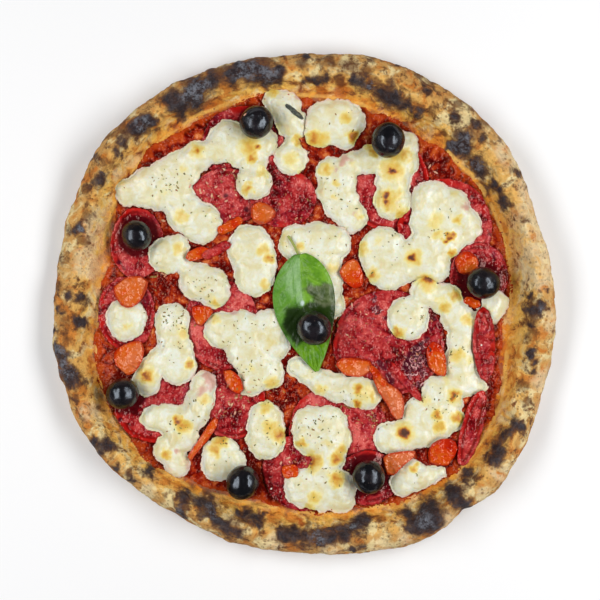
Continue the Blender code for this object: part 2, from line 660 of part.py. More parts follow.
def make_olive(name, place, radius, turn, finish, parent):
    """A whole olive, longer than it is wide, lying on its side, a little squashed where it rests. It is
    set down on what lies under it."""
    shape = bmesh.new()
    bmesh.ops.create_uvsphere(shape, u_segments=12, v_segments=8, radius=radius)
    height = 0.0
    for ring in range(OLIVE_FEELER_RINGS + 1):
        away = radius * OLIVE_LENGTH_SHARE * ring / OLIVE_FEELER_RINGS
        for step in range(OLIVE_FEELERS):
            angle = math.radians(step * 360 / OLIVE_FEELERS)
            spot = place + Vector((away * math.cos(angle), away * math.sin(angle)))
            height = max(height, height_at(spot.x, spot.y) + CLEARANCE + olive_drop(away, radius))
    for vertex in shape.verts:
        z, y, x = vertex.co
        x *= -OLIVE_LENGTH_SHARE
        vertex.co = (
            place.x + x * math.cos(turn) - y * math.sin(turn),
            place.y + x * math.sin(turn) + y * math.cos(turn),
            max(z, -OLIVE_REST_SHARE * radius) + height,
        )
    return add_object(name, shape, finish, parent)


def leaf_place(along, across):
    """A place on the leaf, from 0 at its base to 1 at its tip and from -1 to 1 across."""
    base, tip = plan(*LEAF_BASE), plan(*LEAF_TIP)
    length = tip - base
    aside = Vector((length.y, -length.x)).normalized()
    bow = -LEAF_BOW * PLAN_UNIT * math.sin(math.pi * along)
    half_width = LEAF_HALF_WIDTH * PLAN_UNIT * math.sin(math.pi * along**0.72) ** 0.8
    return base + length * along + aside * (bow + half_width * across)


def make_leaf(finish, parent):
    """A thin wavy leaf with its stem, both faces split alike."""
    places, marks = [], []
    for row in range(LEAF_ROWS + 1):
        along = LEAF_START + LEAF_RUN * row / LEAF_ROWS
        for column in range(LEAF_COLUMNS + 1):
            across = 2 * column / LEAF_COLUMNS - 1
            places.append(leaf_place(along, across))
            marks.append((along, across))
    triangles = []
    wide = LEAF_COLUMNS + 1
    for row in range(LEAF_ROWS):
        for column in range(LEAF_COLUMNS):
            a = row * wide + column
            triangles += [(a, a + wide, a + wide + 1), (a, a + wide + 1, a + 1)]
    heights = resting_heights(places, triangles)
    level = smoothed(heights, triangles, LEAF_EASING)
    olive_place = plan(*OLIVES[-1][:2])
    bottom = []
    for place, (along, across), low, calm in zip(places, marks, heights, level):
        pressed = min(1.0, (place - olive_place).length / LEAF_PRESSED) ** 2
        arch = LEAF_ARCH * (1 - (2 * abs(across) - 1) ** 2) * math.sin(math.pi * along)
        ripple = LEAF_RIPPLE * (1 + math.sin(16 * along + 2 * across)) * abs(across)
        bottom.append(max(low, calm) + pressed * (arch + ripple))
    shape = bmesh.new()
    lower = [shape.verts.new((p.x, p.y, z)) for p, z in zip(places, bottom)]
    upper = [shape.verts.new((p.x, p.y, z + LEAF_THICKNESS)) for p, z in zip(places, bottom)]
    sides = set()
    for a, b, c in triangles:
        shape.faces.new((upper[a], upper[b], upper[c]))
        shape.faces.new((lower[c], lower[b], lower[a]))
        sides |= {(a, b), (b, c), (c, a)}
    for a, b in sorted(sides):
        if (b, a) not in sides:
            shape.faces.new((lower[a], lower[b], upper[b], upper[a]))
    bmesh.ops.recalc_face_normals(shape, faces=shape.faces)
    leaf = add_object("basil_leaf", shape, finish, parent)
    add_stem(leaf, places[wide // 2], bottom[wide // 2])
    return leaf


def add_stem(leaf, leaf_end, leaf_height):
    """A short round stem out of the leaf's base, fused to it."""
    far = plan(*STEM_END)
    reach = far - leaf_end
    route = []
    for share in STEM_STATIONS:
        spot = leaf_end + reach * share
        clear = height_at(spot.x, spot.y) + CLEARANCE + 1.3 * STEM_RADIUS
        route.append(Vector((spot.x, spot.y, max(clear, leaf_height + LEAF_THICKNESS / 2))))
    shape = bmesh.new()
    side = Vector((reach.y, -reach.x, 0)).normalized()
    rings = []
    for spot in route:
        ring = []
        for step in range(STEM_SIDES):
            angle = math.radians(step * 360 / STEM_SIDES)
            out = side * math.cos(angle) + Vector((0, 0, 1)) * math.sin(angle)
            ring.append(shape.verts.new(spot + out * STEM_RADIUS))
        rings.append(ring)
    for one, other in zip(rings, rings[1:]):
        for i in range(STEM_SIDES):
            j = (i + 1) % STEM_SIDES
            shape.faces.new((one[i], one[j], other[j], other[i]))
    shape.faces.new(rings[0][::-1])
    shape.faces.new(rings[-1])
    bmesh.ops.recalc_face_normals(shape, faces=shape.faces)
    stem = add_object("stem", shape, leaf.data.materials[0], None)
    union = leaf.modifiers.new("stem", "BOOLEAN")
    union.operation = "UNION"
    union.object = stem
    union.solver = "EXACT"
    bpy.context.view_layer.objects.active = leaf
    bpy.ops.object.modifier_apply(modifier=union.name)
    bpy.data.objects.remove(stem, do_unlink=True)


def centre_on_crust(pieces, crust):
    """Moves all pieces together, so that the middle of the crust's box is over the origin."""
    corners = [vertex.co for vertex in crust.data.vertices]
    middle = [(min(c[i] for c in corners) + max(c[i] for c in corners)) / 2 for i in (0, 1)]
    for piece in pieces:
        for vertex in piece.data.vertices:
            vertex.co.x -= middle[0]
            vertex.co.y -= middle[1]


# ---------------------------------------------------------------- the materials


def crust_material():
    return material("baked crust", (0.58, 0.34, 0.13), 0.75)


def sauce_material():
    return material("tomato sauce", (0.42, 0.05, 0.015), 0.35)


def salami_material():
    return material("salami", (0.36, 0.03, 0.03), 0.35)


def cheese_material():
    return material("mozzarella", (0.86, 0.82, 0.64), 0.35)


def tomato_material():
    return material("roasted tomato", (0.72, 0.13, 0.03), 0.3)


def olive_material():
    return material("black olive", (0.012, 0.01, 0.012), 0.15)


def leaf_material():
    return material("basil", (0.14, 0.30, 0.05), 0.4)


def herb_material():
    return material("dried herb", (0.12, 0.12, 0.04), 0.8)


# ---------------------------------------------------------------- laying everything on


def leaf_outline():
    """The leaf's edge, down one side and back up the other."""
    shares = [LEAF_START + LEAF_RUN * row / LEAF_ROWS for row in range(LEAF_ROWS + 1)]
    return [leaf_place(share, -1) for share in shares] + [leaf_place(share, 1) for share in reversed(shares)]


def olive_nests(olives):
    """Where each olive will sit in the cheese: (place, radius, height of its middle)."""
    nests = []
    for place, radius in olives:
        height = height_at(place.x, place.y) + 2 * CLEARANCE + OLIVE_SEAT + OLIVE_REST_SHARE * radius
        nests.append((place, radius, height))
    return nests


def lay_slices(outlines, covers, finish, herb_finish, chance, parent):
    """The flat slices of salami with their herbs. The covers of a slice are what is laid after it."""
    for number, outline in enumerate(outlines, 1):
        piece = lay_piece(f"salami_{number:02d}", outline, SALAMI_LAY, [], finish, parent)
        lay_down(piece)
        add_herbs(piece, outline, covers[number:], herb_finish, chance)


def lay_pools(outlines, covers, nests, finish, herb_finish, chance, parent):
    """The pools of mozzarella with their herbs, the burnt sliver on one of them."""
    for number, outline in enumerate(outlines, 1):
        piece = lay_piece(f"mozzarella_{number:02d}", outline, MOZZARELLA_LAY, nests, finish, parent)
        lay_down(piece)
        add_herbs(piece, outline, covers[number:], herb_finish, chance, number == SLIVER_POOL)


def lay_folded_slices(outlines, nests, finish, parent):
    for number, outline in enumerate(outlines, len(SALAMI) + 1):
        lay_down(lay_piece(f"salami_{number:02d}", outline, FOLDED_LAY, nests, finish, parent))


def lay_chunks(outlines, nests, finish, parent):
    for number, outline in enumerate(outlines, 1):
        lay_down(lay_piece(f"tomato_{number:02d}", outline, TOMATO_LAY, nests, finish, parent))


def lay_leaf_and_olives(olives, leaf_finish, olive_finish, parent):
    """The olives, the last one on the leaf."""
    for number, (place, radius) in enumerate(olives, 1):
        if number == len(olives):
            lay_down(make_leaf(leaf_finish, parent))
        lay_down(make_olive(f"olive_{number}", place, radius, OLIVE_TURN * number, olive_finish, parent))


def main():
    clear_scene()
    pizza = bpy.data.objects.new("pizza", None)
    bpy.context.scene.collection.objects.link(pizza)
    crust = make_crust(crust_material(), pizza)
    lay_down(crust)
    lay_down(make_sauce(sauce_material(), pizza))

    slices = [ellipse_outline(*size, SALAMI_OUTLINE_STEP) for size in SALAMI]
    pools = [lumps_outline(lumps, MOZZARELLA_OUTLINE_STEP) for lumps in MOZZARELLA]
    folds = [ellipse_outline(*size, FOLDED_OUTLINE_STEP) for size in FOLDED_SALAMI]
    chunks = [corners_outline(corners, TOMATO_OUTLINE_STEP) for corners in TOMATO]
    olives = [(plan(x, y), radius * PLAN_UNIT) for x, y, radius in OLIVES]
    olive_edges = [
        ellipse_outline(x, y, radius * OLIVE_LENGTH_SHARE, radius * OLIVE_LENGTH_SHARE, 0, OLIVE_OUTLINE_STEP)
        for x, y, radius in OLIVES
    ]
    order = slices + pools + folds + chunks + [leaf_outline()] + olive_edges

    salami_finish = salami_material()
    herb_finish = herb_material()
    chance = random.Random(HERB_SEED)
    lay_slices(slices, order, salami_finish, herb_finish, chance, pizza)
    nests = olive_nests(olives[:-1])
    lay_pools(pools, order[len(slices):], nests, cheese_material(), herb_finish, chance, pizza)
    lay_folded_slices(folds, nests, salami_finish, pizza)
    lay_chunks(chunks, nests, tomato_material(), pizza)
    lay_leaf_and_olives(olives, leaf_material(), olive_material(), pizza)
    centre_on_crust(pizza.children, crust)


main()
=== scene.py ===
import math
import random

import bpy
import numpy as np
from mathutils import Matrix, Vector, noise
from mathutils.bvhtree import BVHTree


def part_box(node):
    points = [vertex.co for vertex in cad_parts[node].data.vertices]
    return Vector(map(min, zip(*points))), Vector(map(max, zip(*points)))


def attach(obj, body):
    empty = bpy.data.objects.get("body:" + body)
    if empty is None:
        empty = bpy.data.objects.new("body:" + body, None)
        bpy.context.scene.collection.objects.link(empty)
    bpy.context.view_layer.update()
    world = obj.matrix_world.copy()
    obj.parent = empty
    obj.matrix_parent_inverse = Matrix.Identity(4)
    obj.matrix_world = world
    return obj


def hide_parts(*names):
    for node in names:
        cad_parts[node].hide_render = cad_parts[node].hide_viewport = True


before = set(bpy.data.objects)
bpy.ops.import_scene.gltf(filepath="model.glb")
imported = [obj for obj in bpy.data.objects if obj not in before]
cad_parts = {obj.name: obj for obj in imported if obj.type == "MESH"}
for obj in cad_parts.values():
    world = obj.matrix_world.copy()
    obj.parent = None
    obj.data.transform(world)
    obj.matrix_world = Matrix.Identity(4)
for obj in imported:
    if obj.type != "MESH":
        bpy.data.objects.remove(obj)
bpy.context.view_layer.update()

# ---------------------------------------------------------------- the crust
# One disc of stretched dough, puffed up round its rim in a wood-fired oven. The rim is tan outside and
# golden where it turns down to the sauce, and its blisters are burnt black, with grey ash on the largest.

MM = 0.001
PLAN_UNIT = 0.64 * MM  # places on top are read off a plan seen from above, in its own units
PLAN_MIDDLE = (304, 303)
FIRST_OLIVE = (257, 124)  # where the plan has the first olive, which shows where the plan lies
olive_low, olive_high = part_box("olive_1")
PLAN_SHIFT = (
    (olive_low.x + olive_high.x) / 2 - (FIRST_OLIVE[0] - PLAN_MIDDLE[0]) * PLAN_UNIT,
    (olive_low.y + olive_high.y) / 2 - (PLAN_MIDDLE[1] - FIRST_OLIVE[1]) * PLAN_UNIT,
)


def plan(x, y):
    """A place in the plan as (x, y) in metres."""
    return (
        (x - PLAN_MIDDLE[0]) * PLAN_UNIT + PLAN_SHIFT[0],
        (PLAN_MIDDLE[1] - y) * PLAN_UNIT + PLAN_SHIFT[1],
    )


def on_plan(corners):
    """Where corners lie in the plan, in its units."""
    across = (corners[:, 0] - PLAN_SHIFT[0]) / PLAN_UNIT + PLAN_MIDDLE[0]
    down = PLAN_MIDDLE[1] - (corners[:, 1] - PLAN_SHIFT[1]) / PLAN_UNIT
    return np.stack([across, down], axis=1)


def placed(name, data):
    """A new object in the scene, made of this data."""
    made = bpy.data.objects.new(name, data)
    bpy.context.scene.collection.objects.link(made)
    return made


def edited(piece, operator, **settings):
    """The piece after one operator in edit mode, on all of it."""
    bpy.context.view_layer.objects.active = piece
    bpy.ops.object.mode_set(mode="EDIT")
    bpy.ops.mesh.select_all(action="SELECT")
    operator(**settings)
    bpy.ops.object.mode_set(mode="OBJECT")
    return piece


def joined_copy(node_name, name):
    """A copy of one of the frame's solids, with its loose triangles joined up."""
    piece = placed(name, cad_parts[node_name].data.copy())
    piece.data.materials.clear()
    bpy.ops.object.select_all(action="DESELECT")
    piece.select_set(True)
    return edited(piece, bpy.ops.mesh.remove_doubles, threshold=0.01 * MM)


def shaped(piece, kind, **settings):
    """The piece after one more modifier, applied."""
    modifier = piece.modifiers.new(kind.lower(), kind)
    for setting, value in settings.items():
        setattr(modifier, setting, value)
    bpy.context.view_layer.objects.active = piece
    bpy.ops.object.modifier_apply(modifier=modifier.name)
    return piece


def corners_of(piece):
    flat = np.empty(len(piece.data.vertices) * 3)
    piece.data.vertices.foreach_get("co", flat)
    return flat.reshape(-1, 3)


def normals_of(piece):
    flat = np.empty(len(piece.data.vertices) * 3)
    piece.data.vertex_normals.foreach_get("vector", flat)
    return flat.reshape(-1, 3)


def put_corners(piece, corners):
    piece.data.vertices.foreach_set("co", corners.ravel())
    piece.data.update()


def paint(piece, **kept):
    """Keeps a number for each corner under each name, for the piece's material to read."""
    for name, values in kept.items():
        layer = piece.data.attributes.new(name, "FLOAT", "POINT")
        layer.data.foreach_set("value", np.full(len(piece.data.vertices), values, np.float32))


def waves(corners, size, octaves=1, start=0.0):
    """Smooth unevenness, about -1 to 1, its largest swells about this big."""
    shift = Vector((start, start * 0.7, -start))
    return np.array([noise.fractal(Vector(c) / size + shift, 1.0, 2.0, octaves) for c in corners])


def from_cell(corners, size):
    """How far each corner lies from the middle of its cell, in a loose pattern of cells, as a share."""
    return np.array([noise.voronoi(Vector(c) / size)[0][0] for c in corners])


def eased(values, low, high):
    """0 up to low, 1 from high on, and smooth between."""
    share = np.clip((values - low) / (high - low), 0, 1)
    return share * share * (3 - 2 * share)


def ridge(values, middle, width):
    """1 at the middle value, and smoothly down to 0 some widths to either side."""
    return np.exp(-(((values - middle) / width) ** 2))


MARK_FADE = 1.3  # how fast a soft mark fades away from its middle
MOST_MARKED = 1.6  # what marks that meet add up to at most


def marked(spots, marks):
    """How much of the soft marks (x, y, radius) reaches each spot: 1 in the middle of one."""
    total = np.zeros(len(spots))
    for x, y, radius in marks:
        total += np.exp(-MARK_FADE * ((spots[:, 0] - x) ** 2 + (spots[:, 1] - y) ** 2) / radius**2)
    return np.minimum(total, MOST_MARKED)


def strayed(spots, corners, by, size, seeds):
    """The corners' spots on the plan, moved about by this many units, so that marks get ragged edges."""
    moved = spots.copy()
    for axis, seed in enumerate(seeds):
        moved[:, axis] += by * waves(corners, size, 3, seed)
    return moved


def outer_radius(away, degrees, slots):
    """The radius of the outermost corner in each slot of the circle, read at the given angles."""
    slot = (degrees / 360 * slots).astype(int) % slots
    widest = np.zeros(slots)
    np.maximum.at(widest, slot, away)
    middles = (np.arange(slots) + 0.5) * 360 / slots
    return lambda at: np.interp(at, middles, widest, period=360)


def round_the_middle(corners):
    """Each corner's distance from the middle, and its angle in degrees."""
    away = np.hypot(corners[:, 0], corners[:, 1])
    return away, np.degrees(np.arctan2(corners[:, 1], corners[:, 0])) % 360


def settle(piece, finish, slot, *nodes):
    """Gives a finished piece its material and body; hides the nodes it stands for. The slot is not used."""
    piece.data.materials.append(finish)
    piece.data.shade_smooth()
    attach(piece, "root")
    if nodes:
        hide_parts(*nodes)


CHAR = [  # burnt blisters, as (x, y, radius) in plan units
    (171, 101, 9), (180, 108, 9), (190, 96, 11), (201, 89, 11), (212, 82, 10), (184, 115, 5), (196, 103, 7),
    (145, 127, 10), (138, 132, 7), (151, 123, 7), (126, 145, 6), (121, 156, 5), (95, 158, 6), (106, 175, 5),
    (102, 183, 6), (231, 79, 6), (237, 64, 5), (233, 76, 8), (245, 72, 12), (258, 74, 12), (270, 78, 9),
    (280, 79, 6), (308, 59, 6), (283, 59, 3), (281, 71, 5), (308, 81, 5), (317, 82, 6), (326, 80, 4),
    (352, 80, 5), (360, 84, 7), (369, 88, 5), (378, 93, 5), (386, 97, 9), (394, 101, 8), (407, 106, 8),
    (418, 115, 6), (423, 94, 5), (397, 65, 4), (453, 119, 6), (474, 127, 7), (481, 139, 5), (461, 138, 8),
    (459, 148, 9), (451, 147, 6), (468, 149, 6), (474, 164, 9), (482, 174, 7), (490, 186, 6), (498, 191, 4),
    (500, 200, 5), (505, 205, 5), (515, 174, 7), (537, 304, 5), (533, 312, 6), (525, 309, 5), (530, 324, 4),
    (527, 352, 5), (532, 361, 4), (528, 370, 5), (527, 352, 4), (518, 426, 6), (511, 421, 6), (504, 432, 7),
    (497, 447, 9), (490, 458, 7), (468, 471, 6), (465, 481, 4), (455, 496, 10), (449, 489, 6),
    (468, 505, 5), (462, 502, 6), (430, 506, 9), (422, 518, 12), (429, 522, 9), (412, 524, 8),
    (406, 513, 6), (431, 512, 8), (363, 520, 8), (355, 526, 8), (343, 531, 7), (330, 533, 8), (318, 537, 8),
    (304, 537, 8), (292, 531, 9), (283, 532, 7), (352, 545, 4), (361, 543, 4), (256, 518, 8), (247, 513, 5),
    (236, 511, 5), (202, 499, 8), (211, 508, 8), (219, 517, 8), (228, 525, 7), (239, 529, 7), (187, 493, 7),
    (179, 506, 6), (185, 511, 6), (149, 471, 6), (119, 467, 6), (134, 477, 6), (103, 451, 7), (96, 441, 6),
    (110, 441, 8), (77, 383, 10), (70, 372, 9), (63, 359, 9), (59, 347, 7), (83, 301, 7), (70, 296, 5),
    (64, 312, 5), (81, 320, 5), (81, 326, 5), (76, 232, 7), (83, 228, 5), (56, 300, 4), (56, 330, 4),
    (527, 297, 4), (541, 290, 3),
]
SCORCHED = [  # browned, but not burnt through, as (x, y, radius) in plan units
    (160, 106, 5), (165, 118, 5), (130, 138, 14), (112, 165, 12), (88, 215, 12), (82, 240, 9),
    (328, 64, 14), (350, 70, 11), (300, 66, 12), (266, 62, 12), (400, 92, 8), (432, 112, 8), (455, 108, 5),
    (444, 90, 4), (376, 84, 8), (388, 88, 7), (338, 84, 9), (216, 76, 10), (238, 66, 8), (196, 112, 9),
    (150, 122, 8), (470, 112, 6), (486, 123, 4), (490, 146, 4), (498, 141, 4), (444, 133, 5), (484, 190, 9),
    (520, 220, 5), (522, 280, 5), (536, 300, 12), (530, 318, 12), (527, 335, 9), (530, 358, 12),
    (521, 384, 8), (522, 400, 8), (510, 430, 8), (496, 457, 8), (475, 475, 5), (457, 500, 9),
    (420, 521, 12), (398, 514, 5), (380, 518, 6), (360, 526, 11), (338, 531, 11), (310, 533, 13),
    (285, 529, 8), (262, 519, 7), (240, 517, 8), (212, 508, 9), (188, 500, 8), (168, 492, 5), (150, 474, 6),
    (132, 470, 6), (112, 446, 9), (129, 449, 4), (87, 416, 5), (100, 409, 4), (80, 395, 8), (68, 340, 10),
    (66, 320, 10), (64, 262, 9), (83, 243, 6), (62, 286, 9), (90, 190, 6), (190, 84, 12), (225, 72, 9),
    (180, 120, 5), (307, 521, 5), (83, 310, 6), (372, 58, 9), (396, 66, 9), (366, 75, 9), (430, 84, 9),
    (458, 103, 8), (482, 125, 8), (122, 124, 8), (112, 137, 7), (416, 76, 7),
]
HALO = 1.5  # how much wider than a burnt blister the browning round it is
PALE = [  # where the dough stayed pale, as (x, y, radius) in plan units
    (520, 150, 26), (538, 220, 34), (545, 262, 24), (536, 270, 20), (330, 545, 12), (275, 540, 12),
    (90, 262, 18), (96, 225, 12), (92, 410, 12), (118, 412, 9), (128, 428, 9), (146, 452, 9),
    (445, 518, 12), (150, 488, 9), (545, 380, 18), (97, 240, 9), (96, 270, 9), (97, 296, 8), (100, 212, 8),
    (118, 176, 7), (548, 320, 14), (498, 470, 12), (480, 492, 9), (380, 545, 12), (404, 535, 9),
    (545, 410, 12), (530, 190, 14), (505, 150, 12), (506, 297, 8), (509, 312, 7), (252, 501, 8),
    (268, 506, 7), (356, 507, 7), (382, 501, 8), (404, 491, 8), (430, 478, 8), (456, 455, 8), (472, 430, 8),
    (134, 408, 6),
]
ASHY = [  # where grey ash lies on the burnt blisters, as (x, y, radius) in plan units
    (245, 72, 15), (270, 76, 10), (200, 90, 13), (190, 96, 9), (145, 127, 9), (460, 144, 12), (474, 166, 7),
    (69, 368, 12), (60, 350, 8), (424, 518, 9), (316, 536, 9), (353, 526, 7), (213, 510, 8), (181, 506, 6),
    (538, 310, 6), (83, 231, 5), (370, 88, 6),
]
POCKS = [  # small burst blisters with dark rims, as (x, y, radius) in plan units
    (474, 127, 5.0), (481, 140, 4.0), (452, 120, 4.5), (424, 93, 3.5), (516, 176, 4.0),
]
POCK_RIM = 1.3  # plan units
LIPPED = [  # where the lip over the sauce stands up most, as (x, y, radius) in plan units
    (452, 158, 10), (466, 174, 10), (480, 192, 10), (492, 212, 10), (502, 234, 10), (508, 256, 10),
    (500, 276, 10),
]
SAUCE_STAINS = [  # where sauce boiled over the rim, as (x, y, radius) in plan units
    (96, 360, 8), (98, 345, 7), (440, 160, 16), (446, 178, 12), (412, 128, 10), (500, 262, 8),
    (503, 345, 12), (500, 375, 12), (340, 92, 9), (322, 92, 9), (210, 108, 12), (180, 132, 14),
    (160, 150, 10), (300, 520, 6),
]

RIM_FROM = 118 * MM  # from here outwards the crust's mesh is fine enough for blisters
SHORE_SLOTS = 48  # stretches in which the edges of the sauce and of the crust are looked up
BRIM_SLOTS = 72
SHORE_TURN = 3.7  # degrees by which the sauce's corners are counted on, so that none is on the edge of a slot

crust = joined_copy("crust", "baked_crust")
sauce_away, sauce_degrees = round_the_middle(corners_of(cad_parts["tomato_sauce"]))
shore_radius = outer_radius(sauce_away, sauce_degrees + SHORE_TURN, SHORE_SLOTS)
brim_radius = outer_radius(*round_the_middle(corners_of(crust)), BRIM_SLOTS)

edited(crust, bpy.ops.mesh.tris_convert_to_quads)
shaped(crust, "SUBSURF", levels=1, render_levels=1)
for face in crust.data.polygons:
    face.select = math.hypot(face.center.x, face.center.y) > RIM_FROM and len(face.vertices) == 4
for part in (*crust.data.edges, *crust.data.vertices):
    part.select = False
bpy.ops.object.mode_set(mode="EDIT")
bpy.ops.mesh.select_mode(type="FACE")
bpy.ops.mesh.subdivide(number_cuts=2)
bpy.ops.object.mode_set(mode="OBJECT")
shaped(crust, "SMOOTH", factor=0.5, iterations=4)

SWELL = 0.95 * MM  # how far each unevenness of the rim stands out or goes in, and how big it is
SWELL_SIZE = 13 * MM
BLISTER = 1.15 * MM
BLISTER_SIZE = 8.5 * MM
BLISTER_SPAN = 0.52  # the radius of a blister, as a share of that
WRINKLE = 0.45 * MM
WRINKLE_SIZE = 7 * MM
WRINKLE_WIDTH = 0.16
GRAIN = 0.24 * MM
GRAIN_SIZE = 2.6 * MM
DINT = 0.25 * MM
DINT_SIZE = 3.6 * MM
DINT_SPAN = 0.3
CHAR_RISE = 0.5 * MM
CHAR_LUMP_SIZE = 4 * MM
BURN_STRAY = 4.0  # plan units by which the edges of the burnt marks run in and out
BURN_STRAY_SIZE = 6 * MM
CLEARED = 0.85  # how much less the clear places low on the outer side are burnt
CLEARED_SIZE = 11 * MM
CALMER = 0.6  # how much lower the blisters are at the outer edge
POCK_DEPTH = 0.5 * MM
LIP = 0.7 * MM
LIP_PLACE = 0.1  # shares of the way across the rim
LIP_WIDTH = 0.05
LIP_STRAY = 0.05
LIP_SIZE = 22 * MM  # the length of its stretches

corners = corners_of(crust)
outward = normals_of(crust)
away, degrees = round_the_middle(corners)
across_rim = (away - shore_radius(degrees)) / (brim_radius(degrees) - shore_radius(degrees))
on_rim = eased(across_rim, -0.02, 0.12) * eased(corners[:, 2], 0.8 * MM, 4 * MM)
spots = strayed(on_plan(corners), corners, BURN_STRAY, BURN_STRAY_SIZE, (21.0, 31.0))
down_side = (1 - eased(corners[:, 2], 4 * MM, 12 * MM)) * eased(across_rim, 0.75, 0.95)
clear_side = 1 - CLEARED * down_side * eased(waves(corners, CLEARED_SIZE, 2, 61.0), -0.35, 0.05)
burnt = marked(spots, CHAR) * clear_side
blisters = np.clip(1 - (from_cell(corners, BLISTER_SIZE) / BLISTER_SPAN) ** 2, 0, 1)
blisters *= 1 - CALMER * eased(across_rim, 0.75, 1.0)
dints = np.clip(DINT_SPAN - from_cell(corners, DINT_SIZE), 0, 1) / DINT_SPAN
swells = waves(corners, SWELL_SIZE, 2)
wrinkles = np.abs(waves(corners, WRINKLE_SIZE, 3, 4.0))
creases = np.clip(WRINKLE_WIDTH - wrinkles, 0, 1) / WRINKLE_WIDTH
height = SWELL * swells + BLISTER * blisters - WRINKLE * creases - DINT * dints
height += GRAIN * waves(corners, GRAIN_SIZE, 2, 9.0)
height += CHAR_RISE * eased(burnt, 0.2, 0.9) * (0.5 + 0.5 * waves(corners, CHAR_LUMP_SIZE, 2, 2.0))
pock_rims = np.zeros(len(corners))
for x, y, radius in POCKS:
    from_pock = np.hypot(spots[:, 0] - x, spots[:, 1] - y)
    pock_rims = np.maximum(pock_rims, ridge(from_pock, radius, POCK_RIM))
    height -= POCK_DEPTH * np.exp(-((from_pock / radius) ** 4))
lip = ridge(across_rim - LIP_STRAY * swells, LIP_PLACE, LIP_WIDTH)
lip *= np.maximum(eased(waves(corners, LIP_SIZE, 1, 6.0), -0.3, 0.2), eased(marked(spots, LIPPED), 0.1, 0.5))
height += LIP * lip
corners += outward * (on_rim * height)[:, None]
corners[:, 2] = np.maximum(corners[:, 2], 0)
put_corners(crust, corners)
smoked = marked(spots, [(x, y, HALO * radius) for x, y, radius in CHAR]) * clear_side
paint(crust, burnt=burnt, ashy=marked(spots, ASHY), pock_rim=pock_rims, lip=lip, smoked=smoked,
      scorched=marked(spots, SCORCHED) * clear_side, pale=marked(spots, PALE), crease=creases,
      stained=marked(spots, SAUCE_STAINS), across=across_rim, lump=swells * 0.6 + blisters * 0.5,
      height=corners[:, 2] / MM)


def hue(red, green, blue):
    """A colour as seen on a screen, 0 to 255, in the shader's own measure."""
    parts = [part / 255 for part in (red, green, blue)]
    return (*[part / 12.92 if part <= 0.04045 else ((part + 0.055) / 1.055) ** 2.4 for part in parts], 1)


def new_finish(name, **sockets):
    """A material: its node tree, and its shader with these values set."""
    made = bpy.data.materials.new(name)
    made.use_nodes = True
    tree = made.node_tree
    shader = tree.nodes["Principled BSDF"]
    for socket, value in sockets.items():
        shader.inputs[socket.replace("_", " ")].default_value = value
    return made, tree, shader


def wired(tree, kind, sockets, **settings):
    """A shader node, its sockets set or linked."""
    made = tree.nodes.new("ShaderNode" + kind)
    for setting, value in settings.items():
        setattr(made, setting, value)
    for socket, value in sockets.items():
        if isinstance(value, bpy.types.NodeSocket):
            tree.links.new(value, made.inputs[socket])
        else:
            made.inputs[socket].default_value = value
    return made


def clouds(tree, size, detail=3.0, roughness=0.55, warp=0.0):
    """Cloudy noise from 0 to 1, its largest clouds about this big."""
    place = wired(tree, "TexCoord", {}).outputs["Object"]
    return wired(tree, "TexNoise", {"Vector": place, "Scale": 1 / size, "Detail": detail,
                                    "Roughness": roughness, "Distortion": warp}).outputs[0]


def specks(tree, size, share):
    """Round specks from 1 in their middles to 0, on about this share of the cells, each about this big."""
    place = wired(tree, "TexCoord", {}).outputs["Object"]
    cells = wired(tree, "TexVoronoi", {"Vector": place, "Scale": 1 / size})
    chosen = wired(tree, "Math", {0: cells.outputs["Color"], 1: 1 - share}, operation="GREATER_THAN")
    near = between(tree, cells.outputs["Distance"], 0.42, 0.15)
    return times(tree, chosen.outputs[0], near)


def painted(tree, name):
    return wired(tree, "Attribute", {}, attribute_name=name).outputs["Fac"]


def times(tree, one, other):
    return wired(tree, "Math", {0: one, 1: other}, operation="MULTIPLY").outputs[0]


def summed(tree, value, *terms):
    """The value plus each (socket, factor) of the terms."""
    for socket, factor in terms:
        value = wired(tree, "Math", {0: socket, 1: factor, 2: value}, operation="MULTIPLY_ADD").outputs[0]
    return value


def varied(tree, middle, *terms):
    """The middle value, moved up and down by each (cloudy socket, factor) of the terms."""
    return summed(tree, middle - 0.5 * sum(factor for _, factor in terms), *terms)


def between(tree, value, low, high, to_low=0.0, to_high=1.0):
    """0 at low, 1 at high, smooth between, or the two other values given."""
    return wired(tree, "MapRange", {"Value": value, "From Min": low, "From Max": high, "To Min": to_low,
                                    "To Max": to_high}, interpolation_type="SMOOTHSTEP").outputs["Result"]


def mixed(tree, share, one, other):
    """One colour going over into the other by a share."""
    blend = wired(tree, "Mix", {0: share, 6: one, 7: other}, data_type="RGBA")
    return blend.outputs[2]


def graded(tree, value, stops):
    """A colour read off a scale of (value, colour) stops."""
    ramp = wired(tree, "ValToRGB", {"Fac": value})
    scale = ramp.color_ramp.elements
    for _ in stops[2:]:
        scale.new(0.5)
    for mark, (at, colour) in zip(scale, stops):
        mark.position = at
        mark.color = colour
    return ramp.outputs["Color"]


def ragged(tree, name, *terms):
    """A painted value, its edges broken up by each (cloudy socket, factor) of the terms."""
    return summed(tree, varied(tree, 0.0, *terms), (painted(tree, name), 1.0))


def tinted(tree, colour, value, low, high, most, tint):
    """A colour with a tint laid over it, from none where the value is at low to the most at high."""
    return mixed(tree, between(tree, value, low, high, 0, most), colour, tint)


def feed(tree, shader, **sockets):
    """Links the shader's sockets, each named with _ for a space."""
    for socket, value in sockets.items():
        tree.links.new(value, shader.inputs[socket.replace("_", " ")])


def relief(tree, shader, height, depth, strength=1.0):
    """Unevenness too fine for the mesh, this deep."""
    bump = wired(tree, "Bump", {"Height": height, "Distance": depth, "Strength": strength})
    feed(tree, shader, Normal=bump.outputs["Normal"])


